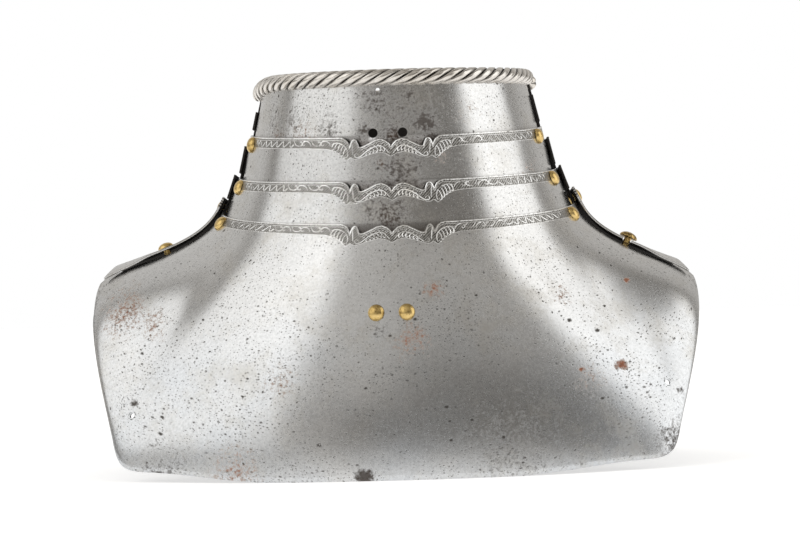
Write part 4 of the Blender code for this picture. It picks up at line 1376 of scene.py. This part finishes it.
def makeMarks():
    # the worn rings round the side holes, and the ring of a plugged hole beside the left one
    turns = evenly(0, 2 * math.pi, 36)
    wide, high = plates["halfWidth"], plates["shoulderHeight"]
    spots = [(a * wide, h * high, marks["holeRing"]) for a, h in holes["side"]]
    runs = []
    for x, z, radius in spots + [marks["plug"]]:
        seat, axis = onFrontPlate(x, z)
        flat = unit(np.cross(axis, (0, 0, 1.0)))
        rise = np.cross(flat, axis)
        ring = seat + axis * (marks["stand"] - marks["wire"])
        ring = ring + radius * (np.cos(turns)[:, None] * flat + np.sin(turns)[:, None] * rise)
        runs.append((ring, marks["wire"] * (0.75 + 0.25 * np.sin(3 * turns + x * 90))))
    finishPiece(wirePiece("worn_rings", runs, finish["worn"]), bodyOf["front_plate"])


neckPlates = buildNeckPlates()
(frontPlate, frontSheet), (backPlate, backSheet) = buildMainPlates()
print("sheets laid")
cutHoles(frontSheet, backSheet, neckPlates["front", "collar"][1])
print("holes cut")
for side, edges, facing in halves:
    for name in ("collar", *lames):
        node = f"{side}_{name}"
        finishPiece(neckPlates[side, name][1], bodyOf[node], node)
    end = plates["sideLap"] + plates["lapSetBack"]
    stop = turnAt(edges["collar"], end - rimRope["gap"] if facing < 0 else -end)
    rope = makeRope(f"{side}_rim_rope", edges, facing, -stop, stop)
    rope.data.materials.append(finish["rope"])
    finishPiece(rope, bodyOf[f"{side}_collar"], angle=60)
finishPiece(frontSheet, bodyOf["front_plate"], "front_plate")
finishPiece(backSheet, bodyOf["back_plate"], "back_plate")
print("rims roped")
for side, edges, main in (("front", frontEdges, frontPlate), ("back", backEdges, backPlate)):
    for name in lames:
        radius = edges[name][3] * neck["depth"] / mm
        turn = 1.28 if side == "front" else 1.1
        makeBorder(neckPlates[side, name][0], radius, turn, bodyOf[f"{side}_{name}"])
    radius = (main.across[-1] - main.across[0]) / math.pi / mm
    makeBorder(main, radius, 1.22 if side == "front" else 1.2, bodyOf[f"{side}_plate"])
print("borders laid")
makeRivets()
makeMarks()
print("rivets set")


# a pale floor, the room that the steel reflects, and the camera
studio = {
    "floorGlow": 0.62,
    "room": 0.20,
    # lights and walls: bearing from, to and softness in degrees, the same for height, strength
    "boxes": (
        ((62.5, 111, 2.5, 3.0), (-30, 51, 4.0), 1.38),
        ((-100, -34, 3.0, 8.0), (11, 59, 2.5, 5.0), 1.16),
        ((-62, -44, 5.0), (32, 44, 4.0), -0.20),
        ((56, 76, 3.0), (36, 54, 4.0), 0.33),
        ((61, 80, 4.0), (8, 19, 3.0), 0.22),
        ((-34, -15, 4.0, 3.0), (6, 20, 4.0), 0.25),
        ((-62, 50, 10.0), (35, 88, 6.0), 0.36),
        ((-75, 45, 14.0), (-30, 8, 4.0), 0.48),
        ((-44, -2, 8.0), (22, 38, 5.0), 0.32),
        ((-12, 14, 8.0), (24, 38, 5.0), 0.08),
        ((125, 400, 12.0), (-30, 75, 12.0), 0.42),
        ((-400, -112, 8.0), (-30, 75, 12.0), 0.50),
    ),
    "dim": (1.0, 0.93, 0.84),
    "clear": (1.0, 0.995, 0.98),
    "lens": 132.48,
    "distance": 1.6,
    "height": 0.110,
    "yaw": math.radians(2.2),
    "roll": math.radians(1.7),
    "shift": (0.005, -0.0075),
}


def makeFloor():
    deselectAll()
    bpy.ops.mesh.primitive_grid_add(
        x_subdivisions=4, y_subdivisions=4, size=8.0, location=(0, 0, -0.2 * mm)
    )
    floor = bpy.context.active_object
    floor.name = "floor"
    made = bpy.data.materials.new("pale_floor")
    made.use_nodes = True
    shader = made.node_tree.nodes["Principled BSDF"]
    shader.inputs["Base Color"].default_value = (0.80, 0.80, 0.80, 1)
    shader.inputs["Roughness"].default_value = 0.9
    shader.inputs["Specular IOR Level"].default_value = 0.1
    shader.inputs["Emission Color"].default_value = (1, 1, 1, 1)
    shader.inputs["Emission Strength"].default_value = studio["floorGlow"]
    floor.data.materials.append(made)


def band(tree, value, low, high, soft, softHigh=None):
    # one between low and high, falling to nothing over soft at either side
    share = None
    for edge, width, sign in ((low, soft, 1), (high, softHigh or soft, -1)):
        step = addNode(tree, "MapRange", interpolation_type="SMOOTHSTEP")
        link(tree, value, step.inputs["Value"])
        step.inputs["From Min"].default_value = edge - sign * width
        step.inputs["From Max"].default_value = edge + sign * width
        share = step.outputs[0] if share is None else times(tree, share, step.outputs[0])
    return share


def makeRoom():
    # what the steel sees, by bearing and height from the object; the camera sees plain white
    world = bpy.data.worlds.new("studio_room")
    bpy.context.scene.world = world
    world.use_nodes = True
    tree = world.node_tree
    tree.nodes.clear()
    parts = addNode(tree, "SeparateXYZ")
    link(tree, addNode(tree, "TexCoord").outputs["Generated"], parts.inputs[0])
    ahead = times(tree, parts.outputs[1], -1.0)
    bearing = mathNode(tree, "ARCTAN2", parts.outputs[0], ahead)
    bearing = times(tree, bearing, 180 / math.pi)
    rise = times(tree, mathNode(tree, "ARCSINE", parts.outputs[2]), 180 / math.pi)
    level = studio["room"]
    for sides, heights, strength in studio["boxes"]:
        box = times(tree, band(tree, bearing, *sides), band(tree, rise, *heights))
        level = timesPlus(tree, box, strength, level)
    lit = addNode(tree, "Background")
    warmth = ramp(tree, level, (0.15, studio["dim"]), (0.9, studio["clear"]))
    link(tree, warmth, lit.inputs["Color"])
    link(tree, level, lit.inputs["Strength"])
    plain = addNode(tree, "Background", Strength=1.0, Color=(1, 1, 1, 1))
    ray = addNode(tree, "LightPath")
    choice = addNode(tree, "MixShader")
    link(tree, ray.outputs["Is Camera Ray"], choice.inputs[0])
    link(tree, lit.outputs[0], choice.inputs[1])
    link(tree, plain.outputs[0], choice.inputs[2])
    link(tree, choice.outputs[0], addNode(tree, "OutputWorld").inputs[0])


def makeCamera():
    turn, roll = studio["yaw"], studio["roll"]
    ahead = Vector((-math.sin(turn), math.cos(turn), 0))
    right = Vector((math.cos(turn), math.sin(turn), 0))
    up = Vector((0, 0, 1))
    sideways = right * math.cos(roll) - up * math.sin(roll)
    upwards = up * math.cos(roll) + right * math.sin(roll)
    data = bpy.data.cameras.new("photo_camera")
    data.lens = studio["lens"]
    data.sensor_width = 36
    data.shift_x, data.shift_y = studio["shift"]
    data.clip_end = 20
    camera = bpy.data.objects.new("photo_camera", data)
    bpy.context.scene.collection.objects.link(camera)
    place = -ahead * studio["distance"] + Vector((0, 0, studio["height"]))
    camera.matrix_world = Matrix((
        (sideways.x, upwards.x, -ahead.x, place.x),
        (sideways.y, upwards.y, -ahead.y, place.y),
        (sideways.z, upwards.z, -ahead.z, place.z),
        (0, 0, 0, 1),
    ))
    bpy.context.scene.camera = camera


makeFloor()
makeRoom()
makeCamera()
bpy.context.scene.view_settings.view_transform = "Standard"
print("studio lit")
